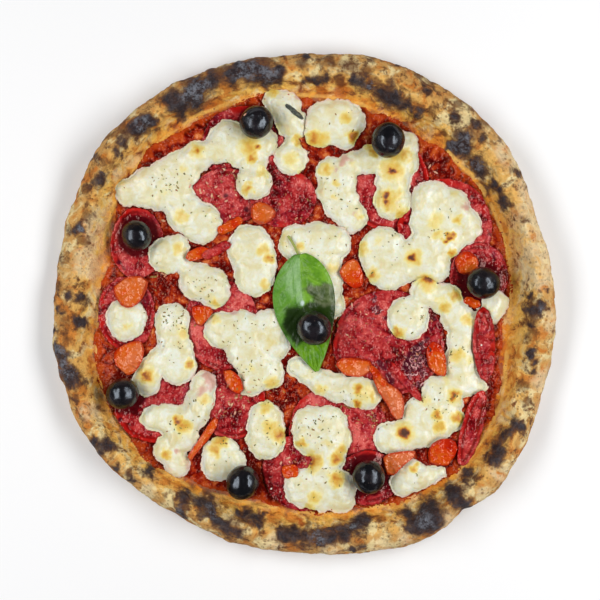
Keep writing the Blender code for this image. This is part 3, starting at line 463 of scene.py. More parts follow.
crust_finish, tree, shader = new_finish("baked crust", Specular_IOR_Level=0.18)
fine = clouds(tree, 1.5 * MM, 4, 0.65)
middling = clouds(tree, 7 * MM, 5, 0.58, 0.5)
broad = clouds(tree, 26 * MM, 3)
zones = clouds(tree, 12 * MM, 4, 0.6, 0.6)
tan = graded(tree, summed(tree, painted(tree, "across"), (middling, 0.4), (broad, 0.3)), [
    (0.26, hue(242, 132, 30)), (0.40, hue(255, 176, 58)), (0.54, hue(255, 204, 98)),
    (0.72, hue(255, 202, 110)), (0.92, hue(244, 188, 102)), (1.0, hue(222, 168, 94)),
])
# painted highlight: pale cream patches where the zones noise is high
colour = tinted(tree, tan, zones, 0.51, 0.62, 0.85, hue(255, 234, 174))
colour = tinted(tree, colour, zones, 0.49, 0.37, 0.8, hue(214, 122, 38))
pale = between(tree, varied(tree, 0.0, (middling, 2.0), (fine, 0.6)), -0.45, 0.2)
pale = times(tree, between(tree, painted(tree, "pale"), 0.1, 0.8), pale)
colour = mixed(tree, times(tree, pale, 0.85), colour, hue(255, 228, 178))
dapple = summed(tree, varied(tree, 0.0, (middling, 3.6), (fine, 1.5)), (painted(tree, "lump"), 0.35),
                (painted(tree, "pale"), -0.3))
dappled = times(tree, between(tree, dapple, 0.18, 0.8, 0, 0.85),
                between(tree, painted(tree, "across"), 0.05, 0.4, 0.15, 1.0))
colour = mixed(tree, dappled, colour, hue(120, 72, 32))
on_top = between(tree, painted(tree, "across"), 0.15, 0.45)
freckles = times(tree, specks(tree, 3.3 * MM, 0.4), on_top)
colour = mixed(tree, times(tree, freckles, 0.65), colour, hue(142, 88, 42))
freckles = times(tree, specks(tree, 1.9 * MM, 0.25), on_top)
colour = mixed(tree, times(tree, freckles, 0.5), colour, hue(116, 72, 36))
# painted shade: the outer side of the rim darkened towards the brim
colour = tinted(tree, colour, painted(tree, "across"), 0.88, 1.04, 0.5, hue(118, 90, 54))
stain = ragged(tree, "stained", (middling, 2.0))
colour = tinted(tree, colour, stain, 0.2, 0.9, 0.85, hue(176, 66, 16))
juice = ragged(tree, "across", (middling, -0.9), (broad, -0.4))
colour = tinted(tree, colour, juice, 0.40, 0.1, 0.5, hue(252, 148, 44))
colour = tinted(tree, colour, juice, 0.16, -0.06, 0.9, hue(178, 62, 14))
scorch = ragged(tree, "scorched", (middling, 2.2), (fine, 0.5))
colour = tinted(tree, colour, scorch, 0.25, 1.05, 0.75, hue(104, 62, 36))
smoke = ragged(tree, "smoked", (middling, 1.8), (fine, 0.4))
colour = tinted(tree, colour, smoke, 0.3, 1.2, 0.58, hue(118, 72, 46))
char = ragged(tree, "burnt", (middling, 1.9), (fine, 0.7))
colour = tinted(tree, colour, char, -0.05, 0.7, 0.85, hue(94, 62, 46))
colour = tinted(tree, colour, char, 0.3, 1.1, 0.92, hue(44, 38, 44))
ash = varied(tree, 0.5, (clouds(tree, 5 * MM, 5, 0.65), 2.6), (clouds(tree, 1.4 * MM, 4, 0.7), 2.0))
ash = times(tree, between(tree, ash, 0.2, 1.0), between(tree, painted(tree, "ashy"), 0.1, 0.8, 0.15, 0.85))
ash = times(tree, ash, between(tree, char, 0.35, 0.8))
colour = mixed(tree, ash, colour, hue(134, 138, 148))
pock = ragged(tree, "pock_rim", (middling, 1.2), (fine, 1.2))
colour = tinted(tree, colour, pock, 0.2, 1.0, 0.85, hue(72, 46, 34))
lip = ragged(tree, "lip", (middling, 1.2))
colour = tinted(tree, colour, lip, 0.25, 0.8, 0.85, hue(255, 194, 96))
# painted shade: the grooves of the wrinkles darkened
colour = mixed(tree, times(tree, painted(tree, "crease"), 0.2), colour, hue(116, 68, 30))
flour = times(tree, between(tree, painted(tree, "height"), 7, 1.5), between(tree, middling, 0.4, 0.65))
colour = mixed(tree, times(tree, flour, 0.5), colour, hue(236, 218, 182))
gloss = between(tree, painted(tree, "across"), 0.0, 0.45, 0.36, 0.75)
feed(tree, shader, Base_Color=colour, Roughness=gloss)
relief(tree, shader, summed(tree, fine, (middling, 2.2)), 1.5 * MM)
settle(crust, crust_finish, "crust", "crust")

# ---------------------------------------------------------------- the tomato sauce
# Crushed tomato spooned over the dough and baked on: a thin, wet, lumpy layer, dark where it is thick. It
# creeps a few millimetres up the inside of the rim, where it dries to a rusty edge.

SAUCE_CELL = 1.3 * MM
SAUCE_CREEP = 4.2 * MM  # how far it creeps up the rim
SAUCE_SHORE = 9 * MM  # the width of the edge that creeps
SAUCE_FILM = 0.35 * MM
FILM_END = 2.4 * MM  # where the film thins out to nothing
CLUMP = 0.6 * MM
CLUMP_SIZE = 8 * MM
PULP = 0.16 * MM
PULP_SIZE = 3 * MM


def tree_of(*pieces):
    """The faces of the pieces together, for finding what lies under a place."""
    corners, faces = [], []
    for piece in pieces:
        start = len(corners)
        corners += [vertex.co for vertex in piece.data.vertices]
        faces += [[corner + start for corner in face.vertices] for face in piece.data.polygons]
    return BVHTree.FromPolygons(corners, faces)


DROPPED_FROM = 0.2  # above everything


def under(tree, x, y):
    """The first place straight under (x, y) on the faces of the tree, and the way up there."""
    place, upward, *_ = tree.ray_cast(Vector((x, y, DROPPED_FROM)), Vector((0, 0, -1)))
    return place, upward


def height_on(tree, x, y, missing=0.0):
    place = under(tree, x, y)[0]
    return missing if place is None else place.z


sauce = joined_copy("tomato_sauce", "spread_sauce")
shaped(sauce, "REMESH", mode="VOXEL", voxel_size=SAUCE_CELL)
shaped(sauce, "SMOOTH", factor=0.5, iterations=3)
corners = corners_of(sauce)
upward = normals_of(sauce)[:, 2] > 0.3
away, degrees = round_the_middle(corners)
to_shore = shore_radius(degrees) - away
creep = eased(to_shore, SAUCE_SHORE, 0)
ring = np.stack([np.cos(np.radians(degrees)), np.sin(np.radians(degrees)), 0 * degrees], axis=1)
reach = SAUCE_CREEP * (0.55 + 0.9 * waves(ring, 0.16, 3))
corners[:, :2] *= (1 + creep * reach / np.maximum(away, 1 * MM))[:, None]
clumps = CLUMP * waves(corners, CLUMP_SIZE, 2) + PULP * waves(corners, PULP_SIZE, 2, 5.0)
corners[:, 2] += upward * clumps * (1 - creep)
crust_tree = tree_of(crust)
for i in np.flatnonzero(upward & (creep > 0)):
    ground = height_on(crust_tree, corners[i, 0], corners[i, 1])
    film = SAUCE_FILM * (1 - 1.5 * eased(to_shore[i], FILM_END, 0))
    corners[i, 2] = max(corners[i, 2] * (1 - creep[i]) + ground * creep[i], ground + film)
put_corners(sauce, corners)
paint(sauce, shore=creep, clump=clumps / MM)

sauce_finish, tree, shader = new_finish("baked tomato sauce", Specular_IOR_Level=0.34,
                                        Specular_Tint=(1.0, 0.56, 0.42, 1))
pulp = clouds(tree, 5.5 * MM, 3, 0.5, 0.6)
seeds = clouds(tree, 1.6 * MM, 2, 0.5)
depth = varied(tree, 0.4, (pulp, 2.2), (seeds, 0.4), (clouds(tree, 20 * MM, 3), 1.4))
colour = graded(tree, summed(tree, depth, (painted(tree, "clump"), 0.3)), [
    (0.09, hue(78, 0, 0)), (0.24, hue(108, 8, 2)), (0.37, hue(132, 20, 6)), (0.50, hue(152, 38, 14)),
    (0.64, hue(172, 58, 22)), (0.76, hue(192, 84, 36)), (0.91, hue(216, 122, 66)),
])
edge = ragged(tree, "shore", (pulp, 1.6))
colour = tinted(tree, colour, edge, 0.35, 1.0, 0.8, hue(186, 68, 18))
# painted shade: darker where the toppings close in round the sauce, and round the olives
colour = tinted(tree, colour, painted(tree, "crevice"), 0.25, 0.75, 0.85, hue(82, 4, 0))
feed(tree, shader, Base_Color=colour, Roughness=between(tree, pulp, 0.35, 0.7, 0.08, 0.15))
relief(tree, shader, summed(tree, clouds(tree, 3 * MM, 1), (clouds(tree, 1.6 * MM, 1), 0.35)), 1.5 * MM)
settle(sauce, sauce_finish, "sauce", "tomato_sauce")

# ---------------------------------------------------------------- the salami
# Thin round slices of cured pork, laid on the sauce before the cheese. They went soft in the oven and
# drape over each other, wet with their own red fat. The last two folded over beside the rim.

SLICES = 15
FOLDED = 2
GLAZED = [  # where red fat glazes the slices, as (x, y, radius) in plan units
    (240, 108, 12), (250, 104, 12), (262, 104, 12), (272, 110, 12), (276, 122, 10), (150, 145, 12),
    (165, 134, 12), (182, 126, 12), (138, 157, 10), (122, 210, 10), (134, 205, 10), (150, 206, 10),
    (116, 240, 10), (115, 262, 10), (372, 108, 10), (420, 150, 12), (428, 166, 12), (432, 182, 11),
    (444, 186, 11), (456, 192, 12), (468, 202, 13), (478, 212, 10), (300, 160, 11), (298, 176, 11),
    (318, 222, 10), (330, 226, 10), (368, 228, 10), (384, 224, 10), (404, 222, 11), (418, 218, 9),
    (280, 218, 10), (282, 236, 11), (281, 256, 11), (276, 274, 10), (344, 296, 10), (336, 320, 11),
    (334, 342, 11), (105, 300, 10), (104, 322, 10), (110, 342, 10), (196, 320, 11), (203, 340, 11),
    (210, 356, 11), (222, 380, 12), (232, 398, 12), (120, 412, 11), (130, 424, 11), (142, 434, 11),
    (156, 442, 10), (240, 430, 11), (262, 400, 11), (285, 402, 11), (290, 420, 11), (292, 446, 12),
    (284, 462, 12), (280, 482, 12), (196, 482, 12), (212, 490, 11), (176, 474, 11), (230, 488, 11),
    (356, 424, 12), (366, 444, 12), (372, 462, 12), (362, 480, 12), (478, 392, 12), (474, 412, 12),
    (468, 432, 12), (460, 452, 11), (476, 310, 11), (482, 330, 11), (488, 350, 11), (250, 388, 10),
    (300, 398, 11), (330, 404, 11), (352, 410, 11),
]
SALAMI_CELL = 0.75 * MM
CURL = 0.55 * MM  # how far a slice's edge turns up
CURL_WIDTH = 1.6  # millimetres
CURL_SPAN = 12 * MM  # the length of the stretches where it does
FURROW_PLACE = 3.0  # millimetres from a slice's edge
FURROW_WIDTH = 1.1
FURROW_SPAN = 14 * MM
FURROW_DEPTH = 0.5  # as shares of how far the edge turns up
FOLD_DEPTH = 1.2
FOLD_STRAY = 1.5  # plan units by which the edges of the deep folds run in and out
FOLD_STRAY_SIZE = 4 * MM
BUMP = 0.5 * MM
FOLDED_BUMP = 0.3 * MM
BUMP_SIZE = 5 * MM
COARSE = 0.08 * MM
COARSE_SIZE = 1.8 * MM
FAR = 1.0  # farther than any corner is from an outline


def outline_points(node_name):
    """Points along the upright sides of one of the frame's solids, seen from above."""
    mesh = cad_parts[node_name].data
    found = []
    for face in mesh.polygons:
        if abs(face.normal.z) < 0.2:
            ends = [mesh.vertices[corner].co.to_2d() for corner in face.vertices]
            for one, other in zip(ends, ends[1:] + ends[:1]):
                found += [one.lerp(other, share / 5) for share in range(5)]
    return np.array([tuple(point) for point in found])


def from_outline(corners, node_name):
    """How far each corner lies from the outline of a solid, seen from above, in millimetres."""
    nearest = np.full(len(corners), FAR)
    for point in outline_points(node_name):
        nearest = np.minimum(nearest, np.hypot(corners[:, 0] - point[0], corners[:, 1] - point[1]))
    return nearest / MM


def softened(node_name, name, cell, drape_rounds, round_rounds):
    """A copy of a solid in even small faces, its folds eased from above and its edges rounded."""
    piece = joined_copy(node_name, name)
    shaped(piece, "REMESH", mode="VOXEL", voxel_size=cell)
    shaped(piece, "SMOOTH", factor=0.5, iterations=drape_rounds, use_x=False, use_y=False)
    return shaped(piece, "SMOOTH", factor=0.5, iterations=round_rounds)


DEEP_FOLDS = [  # puckered folds in a slice, darkened with painted shade, as (x, y, radius) in plan units
    (427, 339, 5), (421, 345, 5), (416, 350, 6), (411, 356, 6), (408, 363, 6), (406, 369, 5), (420, 358, 6),
    (416, 367, 6), (423, 372, 5), (429, 364, 5), (383, 367, 5), (388, 375, 5), (392, 382, 5), (379, 362, 4),
    (432, 330, 4), (434, 319, 3), (433, 311, 2), (378, 309, 5), (374, 301, 4), (385, 318, 4), (352, 330, 2),
    (118, 262, 4), (117, 274, 4), (336, 306, 3), (335, 330, 3), (226, 196, 3), (232, 206, 3), (120, 420, 3),
    (135, 440, 3), (284, 352, 4), (291, 392, 5), (277, 398, 5), (296, 402, 4), (388, 190, 4), (246, 210, 4),
    (272, 388, 4),
]

salami_finish, tree, shader = new_finish("salami", Specular_IOR_Level=0.48, Specular_Tint=(1.0, 0.6, 0.54, 1))
mottle = clouds(tree, 4.5 * MM, 3, 0.5, 0.6)
grit = clouds(tree, 1.3 * MM, 2, 0.5)
lean = varied(tree, 0.5, (mottle, 1.5), (grit, 0.5), (clouds(tree, 16 * MM, 2), 1.8))
colour = graded(tree, summed(tree, lean, (painted(tree, "ripe"), 0.2)), [
    (0.06, hue(76, 0, 4)), (0.22, hue(112, 4, 12)), (0.38, hue(148, 22, 28)), (0.54, hue(174, 44, 46)),
    (0.72, hue(194, 64, 62)), (0.92, hue(220, 102, 94)),
])
purple = between(tree, clouds(tree, 9 * MM, 3, 0.6, 0.5), 0.52, 0.7, 0, 0.35)
colour = mixed(tree, purple, colour, hue(150, 48, 74))
band = ragged(tree, "glazed", (mottle, 1.6))
colour = tinted(tree, colour, band, 0.2, 0.9, 0.8, hue(188, 22, 12))
# painted shade: the furrow behind a slice's turned-up edge darkened
furrow = ragged(tree, "furrow", (mottle, 1.6))
colour = tinted(tree, colour, furrow, 0.3, 0.9, 0.7, hue(96, 0, 4))
fat = times(tree, specks(tree, 1.7 * MM, 0.12), between(tree, mottle, 0.4, 0.55))
colour = mixed(tree, times(tree, fat, 0.7), colour, hue(228, 150, 134))
# painted shade: darker where the toppings close in round the slices, and round the olives
colour = tinted(tree, colour, painted(tree, "crevice"), 0.25, 0.8, 0.92, hue(72, 0, 8))
# painted shade: the puckered folds darkened
pucker = ragged(tree, "pucker", (mottle, 1.4))
colour = tinted(tree, colour, pucker, 0.3, 1.0, 0.88, hue(70, 8, 30))
feed(tree, shader, Base_Color=colour, Roughness=between(tree, mottle, 0.35, 0.7, 0.08, 0.15))
grain = varied(tree, 0.0, (clouds(tree, 2.6 * MM, 1), 1.0), (clouds(tree, 1.5 * MM, 1), 0.1))
shade_and_glaze = summed(tree, painted(tree, "crevice"), (painted(tree, "glazed"), 0.8))
relief(tree, shader, times(tree, grain, between(tree, shade_and_glaze, 0.15, 0.9, 1.0, 0.3)), 1.5 * MM)

chance = random.Random(3)
for number in range(1, SLICES + FOLDED + 1):
    node_name = f"salami_{number:02d}"
    folded = number > SLICES
    piece = softened(node_name, f"slice_{number:02d}", SALAMI_CELL, 10 if folded else 34, 2)
    corners = corners_of(piece)
    outward = normals_of(piece)
    from_edge = from_outline(corners, node_name)
    bumps = (FOLDED_BUMP if folded else BUMP) * waves(corners, BUMP_SIZE, 2, number)
    bumps += COARSE * waves(corners, COARSE_SIZE, 1, number)
    furrow = ridge(from_edge, FURROW_PLACE, FURROW_WIDTH)
    furrow *= eased(waves(corners, FURROW_SPAN, 1, number + 9), -0.15, 0.2)
    fold_spots = on_plan(corners) + FOLD_STRAY * waves(corners, FOLD_STRAY_SIZE, 2, 50)[:, None]
    puckered = marked(fold_spots, DEEP_FOLDS)
    curl = ridge(from_edge, 0, CURL_WIDTH) * (0.5 + 0.8 * waves(corners, CURL_SPAN, 1, number))
    curl -= FURROW_DEPTH * furrow + FOLD_DEPTH * puckered
    corners += outward * (bumps + CURL * curl * np.clip(outward[:, 2], 0, 1))[:, None]
    put_corners(piece, corners)
    # random ripeness per slice; the folded ones lighter, a painted sheen along their ridges
    ripe = chance.uniform(-0.5, 0.5) + (0.2 if folded else 0)
    paint(piece, glazed=marked(on_plan(corners), GLAZED) * eased(from_edge, 6.5, 2), furrow=furrow,
          pucker=puckered, ripe=ripe)
    settle(piece, salami_finish, "salami", node_name)

# ---------------------------------------------------------------- the mozzarella
# Torn fresh mozzarella, melted into thick soft pools. Each began as several lumps, which still show as
# gentle mounds. It is creamy white, clearer at its thin edges, and toasted yellow to brown in spots.

MOZZARELLA = [  # the lumps of each pool, as (x, y, radius) in plan units
    [(128, 192, 13), (146, 188, 19), (165, 180, 20), (179, 171, 20), (197, 156, 15), (216, 150, 14),
     (230, 141, 21), (246, 152, 18), (263, 143, 14), (256, 164, 11), (254, 182, 17), (176, 198, 18),
     (186, 214, 19), (201, 223, 20), (160, 197, 13)],
    [(274, 101, 11), (286, 106, 15), (291, 122, 15), (298, 126, 11), (292, 141, 6), (291, 159, 16)],
    [(325, 119, 18), (340, 118, 19), (347, 122, 18), (319, 133, 14), (345, 138, 11), (334, 130, 14)],
    [(331, 172, 15), (331, 192, 14), (341, 203, 18), (352, 218, 15), (343, 182, 14), (352, 164, 12),
     (369, 160, 14), (386, 152, 15), (403, 146, 15), (400, 162, 18), (393, 180, 17), (392, 201, 18)],
    [(431, 201, 20), (449, 210, 21), (463, 226, 18), (442, 235, 24), (424, 222, 14), (425, 256, 24),
     (436, 268, 14), (405, 262, 20), (383, 252, 24), (388, 268, 22)],
    [(408, 318, 21), (424, 291, 13), (446, 299, 16), (458, 318, 16), (461, 341, 14), (461, 361, 17),
     (463, 381, 16), (474, 386, 8), (483, 387, 5), (438, 392, 16), (452, 402, 11), (418, 413, 15),
     (438, 415, 17), (455, 420, 11), (443, 428, 10), (424, 433, 15), (404, 437, 16), (390, 438, 16),
     (470, 329, 9), (481, 322, 9), (491, 313, 11), (495, 303, 13)],
    [(403, 483, 13), (418, 479, 12), (432, 475, 9), (442, 472, 5), (413, 467, 8)],
    [(297, 243, 18), (317, 241, 19), (334, 243, 17), (312, 259, 20), (329, 263, 13), (329, 285, 14),
     (331, 305, 14)],
    [(250, 248, 23), (255, 262, 21), (255, 276, 20)],
    [(167, 255, 18), (178, 246, 11), (184, 266, 8), (197, 281, 18), (211, 286, 18), (216, 296, 12)],
    [(127, 317, 19), (126, 323, 18)],
    [(172, 320, 17), (172, 336, 16), (176, 352, 17), (178, 366, 18), (158, 358, 10), (150, 368, 10),
     (146, 382, 14)],
    [(222, 330, 18), (240, 331, 21), (244, 351, 18), (257, 366, 18), (268, 373, 16), (251, 384, 12),
     (270, 327, 18), (275, 345, 15)],
    [(297, 367, 10), (308, 374, 11), (322, 383, 13), (338, 388, 14), (355, 392, 15), (367, 394, 14)],
    [(265, 418, 16), (266, 428, 18), (266, 440, 19)],
    [(311, 425, 18), (329, 424, 18), (312, 437, 18), (334, 438, 17), (333, 456, 13), (319, 466, 9),
     (303, 488, 19), (321, 489, 22), (339, 487, 17), (343, 502, 11)],
    [(153, 418, 12), (168, 419, 15), (186, 421, 15), (200, 401, 14), (204, 384, 13), (196, 414, 13),
     (181, 437, 16), (166, 450, 13), (177, 464, 13)],
    [(221, 456, 19), (218, 466, 16), (232, 464, 14)],
]
TOAST = [  # toasted spots, as (x, y, radius, how dark from 0 to 1) in plan units
    (197, 152, 4, .62), (197, 152, 8, .34), (181, 216, 6, .36), (183, 169, 7, .2), (166, 190, 9, .16),
    (258, 147, 3, .75), (250, 148, 10, .42), (252, 158, 5, .6), (249, 189, 4.5, .55), (262, 174, 6, .28),
    (272, 91, 6, .42), (277, 129, 7, .26), (291, 160, 10, .26), (301, 172, 4, .45), (314, 138, 7, .55),
    (299, 141, 6, .45), (346, 119, 6, .36), (353, 137, 5, .62), (322, 139, 8, .36), (326, 170, 6, .44),
    (336, 184, 4, .32), (333, 198, 4, .25), (392, 171, 4, .97), (392, 170, 11, .42), (386, 196, 4, .85),
    (386, 203, 4.5, .85), (387, 200, 11, .4), (374, 152, 5, .5), (371, 146, 7, .38), (404, 155, 7, .46),
    (395, 158, 9, .36), (398, 192, 6, .25), (402, 214, 7, .45), (360, 216, 5, .26), (457, 220, 5, .42),
    (435, 221, 10, .24), (444, 241, 3.2, .8), (448, 238, 3.2, .85), (452, 235, 3, .75), (412, 257, 4, .97),
    (413, 257, 9, .4), (427, 281, 4.5, .78), (427, 282, 9, .4), (436, 235, 6, .3), (452, 254, 4, .5),
    (372, 275, 4, .64), (372, 275, 8, .32), (362, 249, 7, .36), (378, 242, 6, .2), (398, 333, 6, .56),
    (445, 308, 6, .4), (455, 297, 6, .5), (467, 320, 6, .36), (457, 355, 8, .36), (454, 396, 4.5, .74),
    (454, 396, 8, .36), (436, 415, 5.5, .55), (457, 418, 6, .58), (440, 427, 6, .42), (404, 432, 5.5, .98),
    (404, 432, 10, .38), (414, 468, 4.5, .48), (300, 247, 5, .36), (332, 268, 7, .25), (268, 258, 4.5, .5),
    (263, 250, 6, .34), (264, 284, 6, .3), (179, 249, 6, .3), (162, 276, 7, .25), (215, 302, 5, .34),
    (128, 327, 6, .24), (183, 333, 7, .3), (189, 364, 4, .56), (147, 376, 5, .74), (147, 375, 10, .38),
    (253, 367, 5, .2), (272, 382, 7, .32), (215, 320, 5, .25), (358, 389, 5, .56), (359, 403, 4, .62),
    (371, 397, 5, .42), (321, 389, 6, .3), (366, 394, 12, .24), (279, 434, 8, .5), (280, 436, 4, .62),
    (270, 427, 7, .38), (266, 407, 6, .34), (302, 443, 5, .48), (311, 461, 8, .66), (311, 463, 3.4, .97),
    (336, 458, 6, .6), (341, 450, 6, .44), (336, 478, 7, .56), (314, 497, 6, .34), (309, 506, 6, .34),
    (179, 421, 4.5, .74), (184, 426, 7, .48), (205, 399, 6, .32), (166, 454, 5, .48), (220, 441, 8, .5),
    (215, 450, 6, .5), (121, 183, 8, .22), (150, 200, 9, .14), (440, 300, 8, .2), (470, 360, 6, .2),
    (424, 400, 7, .22), (446, 380, 8, .18), (396, 330, 3, .66), (352, 165, 5, .18), (230, 165, 8, .16),
]
TOAST_SPREAD = 1.15
FILMY = [  # where the sauce shows pink through a thin place, as (x, y, radius) in plan units
    (208, 373, 8), (211, 384, 8), (201, 393, 7), (345, 160, 7), (190, 467, 6), (162, 220, 5), (357, 216, 5),
    (334, 170, 4), (466, 207, 6), (234, 312, 6), (128, 305, 5), (298, 98, 5), (396, 206, 4), (176, 452, 4),
]
CHEESE_CELL = 0.78 * MM
MELT = 1.2  # plan units over which two lumps flow together
SHRUNK = 1.7  # plan units by which easing has drawn a pool's edge in
MOUND = 1.5 * MM
EDGE_DROP = 1.5 * MM  # how much thinner a pool is at its edge
DIMPLE = 0.65 * MM
DIMPLE_SIZE = 6 * MM
TATTER = 1.3 * MM  # how far its edge runs in and out
TATTER_SIZE = 5 * MM
SCALLOPED = 9  # plan units in from the edge over which the outline of the lumps shows
TOAST_STRAY = 3.5  # plan units by which the edges of the toasted spots run in and out
TOAST_STRAY_SIZE = 4.5 * MM

cheese_finish, tree, shader = new_finish("mozzarella", Subsurface_Weight=0.45, Subsurface_Scale=2.5 * MM,
                                         Subsurface_Radius=(1.0, 0.7, 0.5))
curd = clouds(tree, 7 * MM, 4, 0.55, 0.5)
dimples = clouds(tree, 1.7 * MM, 3, 0.55)
colour = mixed(tree, between(tree, curd, 0.3, 0.68), hue(236, 238, 224), hue(226, 219, 174))
colour = tinted(tree, colour, dimples, 0.45, 0.8, 0.4, hue(220, 208, 140))
oily = varied(tree, 0.0, (clouds(tree, 16 * MM, 3), 1.0), (curd, 0.8))
colour = tinted(tree, colour, oily, 0.1, 0.4, 0.5, hue(232, 212, 112))
thin = between(tree, summed(tree, painted(tree, "from_edge"), (curd, 3.0)), 3.3, 1.2, 0, 0.75)
colour = mixed(tree, thin, colour, hue(244, 190, 160))
film = ragged(tree, "filmy", (curd, 2.0))
colour = tinted(tree, colour, film, 0.2, 1.0, 0.75, hue(212, 152, 142))
toast = painted(tree, "toast")
browning = summed(tree, toast, (times(tree, toast, dimples), 0.9), (times(tree, toast, curd), 0.9))
toasted = graded(tree, times(tree, browning, 0.55), [
    (0.06, hue(236, 234, 208)), (0.18, hue(238, 226, 156)), (0.36, hue(226, 192, 84)),
    (0.54, hue(208, 140, 36)), (0.72, hue(152, 78, 24)), (0.92, hue(84, 42, 22)),
])
colour = tinted(tree, colour, browning, 0.06, 0.44, 1, toasted)
feed(tree, shader, Base_Color=colour, Roughness=between(tree, browning, 0.2, 0.8, 0.3, 0.5))
relief(tree, shader, summed(tree, curd, (dimples, 0.25)), 0.9 * MM)

for number, lumps in enumerate(MOZZARELLA, 1):
    node_name = f"mozzarella_{number:02d}"
    piece = softened(node_name, f"cheese_{number:02d}", CHEESE_CELL, 14, 6)
    corners = corners_of(piece)
    outward = normals_of(piece)
    spots = on_plan(corners)
    from_edge = from_outline(corners, node_name)
    apart = [np.hypot(spots[:, 0] - x, spots[:, 1] - y) for x, y, _ in lumps]
    radii = [radius for _, _, radius in lumps]
    swell = np.zeros(len(corners))
    for far, radius in zip(apart, radii):
        closeness = np.clip(1 - (far / radius) ** 2, 0, 1)
        swell = np.maximum(swell, closeness) + 0.15 * np.minimum(swell, closeness)
    pulls = np.array([np.exp((radius - far) / MELT) for far, radius in zip(apart, radii)])
    depth = MELT * np.log(pulls.sum(0))
    scallop = np.clip(depth - from_edge * MM / PLAN_UNIT, -2, 3) + SHRUNK
    push = scallop * np.clip(1 - depth / SCALLOPED, 0, 1) ** 2 * PLAN_UNIT
    aim = np.array([[(spots[:, 0] - x) / far, (y - spots[:, 1]) / far]
                    for far, (x, y, _) in zip(apart, lumps)])
    aim = (aim * pulls[:, None, :]).sum(0) / pulls.sum(0)
    corners[:, :2] += (aim * push).T
    rise = MOUND * (np.sqrt(swell) - 0.62) * eased(from_edge, 0, 4)
    rise += DIMPLE * waves(corners, DIMPLE_SIZE, 3, number) - EDGE_DROP * (1 - eased(from_edge, 0, 3.8))
    corners[:, 2] += np.clip(outward[:, 2], 0, 1) * rise
    tatter = TATTER * waves(corners, TATTER_SIZE, 3, number + 0.5) * (1 - eased(from_edge, 1, 6))
    corners[:, :2] += outward[:, :2] * tatter[:, None]
    put_corners(piece, corners)
    spots = strayed(spots, corners, TOAST_STRAY, TOAST_STRAY_SIZE, (number + 20, number + 40))
    toast = np.zeros(len(corners))
    for x, y, radius, dark in TOAST:
        from_spot = np.hypot(spots[:, 0] - x, spots[:, 1] - y)
        toast = np.maximum(toast, dark * ridge(from_spot, 0, TOAST_SPREAD * radius))
    paint(piece, toast=toast, filmy=marked(spots, FILMY), from_edge=from_edge)
    settle(piece, cheese_finish, "mozzarella", node_name)

# ---------------------------------------------------------------- the roasted tomato
# Chunks cut from ripe tomatoes and roasted on top: firm wet flesh, some with the skin up and some cut
# side up, paler at the core and streaked along the flesh.

CHUNKS = 14
TOMATO_CELL = 0.5 * MM
CUTS = 5  # flat faces round each chunk, besides those on top
PULP_SHARES = {  # how pale a chunk is, where it isn't like most
    1: 0.42, 2: 0.45, 4: 0.48, 7: 0.4, 9: 0.4, 10: 0.75, 12: -0.2, 13: 0.75,
}
USUAL_PULP = 0.1
DENT = 0.5 * MM
DENT_SIZE = 5 * MM
HOLLOW = 0.5 * MM  # how far the cut side of every other chunk sinks in
TOP_CUT = 0.22

tomato_finish, tree, shader = new_finish("roasted tomato", Subsurface_Weight=0.12,
                                         Subsurface_Scale=1.5 * MM, Subsurface_Radius=(1.0, 0.35, 0.15),
                                         Specular_IOR_Level=0.5, Specular_Tint=(1.0, 0.8, 0.66, 1))
flesh = clouds(tree, 6 * MM, 4, 0.6, 0.8)
fibres = clouds(tree, 1.5 * MM, 3, 0.6)
tone = summed(tree, flesh, (painted(tree, "pulp"), 0.5), (fibres, 0.2), (painted(tree, "cut_side"), 0.22))
colour = graded(tree, summed(tree, -0.1, (tone, 1.0)), [
    (0.15, hue(172, 18, 0)), (0.38, hue(204, 46, 2)), (0.56, hue(214, 84, 14)), (0.72, hue(216, 104, 36)),
    (0.88, hue(216, 112, 66)),
])
skin = between(tree, summed(tree, painted(tree, "from_edge"), (flesh, 1.6)), 2.8, 1.2, 0, 0.7)
colour = mixed(tree, skin, colour, hue(190, 34, 6))
feed(tree, shader, Base_Color=colour, Roughness=between(tree, flesh, 0.3, 0.7, 0.09, 0.18))
relief(tree, shader, clouds(tree, 2.6 * MM, 1), 1.2 * MM)


def pared(corners, aim, depth):
    """The corners after one flat cut square to the aim, this share of the way in from the farthest corner."""
    middle = corners.mean(0)
    along = (corners - middle) @ aim
    return corners - np.clip(along - along.max() * (1 - depth), 0, None)[:, None] * aim


def chopped(corners, chance):
    """The corners after the cuts that give a chunk its flat faces."""
    turn = chance.uniform(0, 2 * math.pi)
    for _ in range(CUTS):
        turn += 2 * math.pi / CUTS * chance.uniform(0.8, 1.2)
        aim = Vector((math.cos(turn), math.sin(turn), chance.uniform(0.2, 0.9))).normalized()
        corners = pared(corners, np.array(aim), chance.uniform(0.06, 0.18))
    aim = Vector((chance.uniform(-0.3, 0.3), chance.uniform(-0.3, 0.3), 1)).normalized()
    return pared(corners, np.array(aim), TOP_CUT)


chance = random.Random(17)
for number in range(1, CHUNKS + 1):
    node_name = f"tomato_{number:02d}"
    piece = softened(node_name, f"tomato_chunk_{number:02d}", TOMATO_CELL, 1, 2)
    corners = corners_of(piece)
    from_edge = from_outline(corners, node_name)
    outward = normals_of(piece)
    dents = DENT * waves(corners, DENT_SIZE, 2, 3 * number) - HOLLOW * eased(from_edge, 1.2, 4) * (number % 2)
    corners += outward * (dents * (0.35 + 0.65 * np.clip(outward[:, 2], 0, 1)))[:, None]
    put_corners(piece, chopped(corners, chance))
    turn = chance.uniform(0, 2 * math.pi)
    over = (corners - corners.mean(0)) @ np.array((math.cos(turn), math.sin(turn), 0))
    paint(piece, cut_side=over / np.abs(over).max(), pulp=PULP_SHARES.get(number, USUAL_PULP),
          from_edge=from_edge)
    settle(piece, tomato_finish, "roasted_tomato", node_name)

# ---------------------------------------------------------------- the basil leaf
# One fresh leaf laid on after baking, with a bit of its stalk. The blade bulges between its veins, and
# its midrib and side veins lie in grooves.

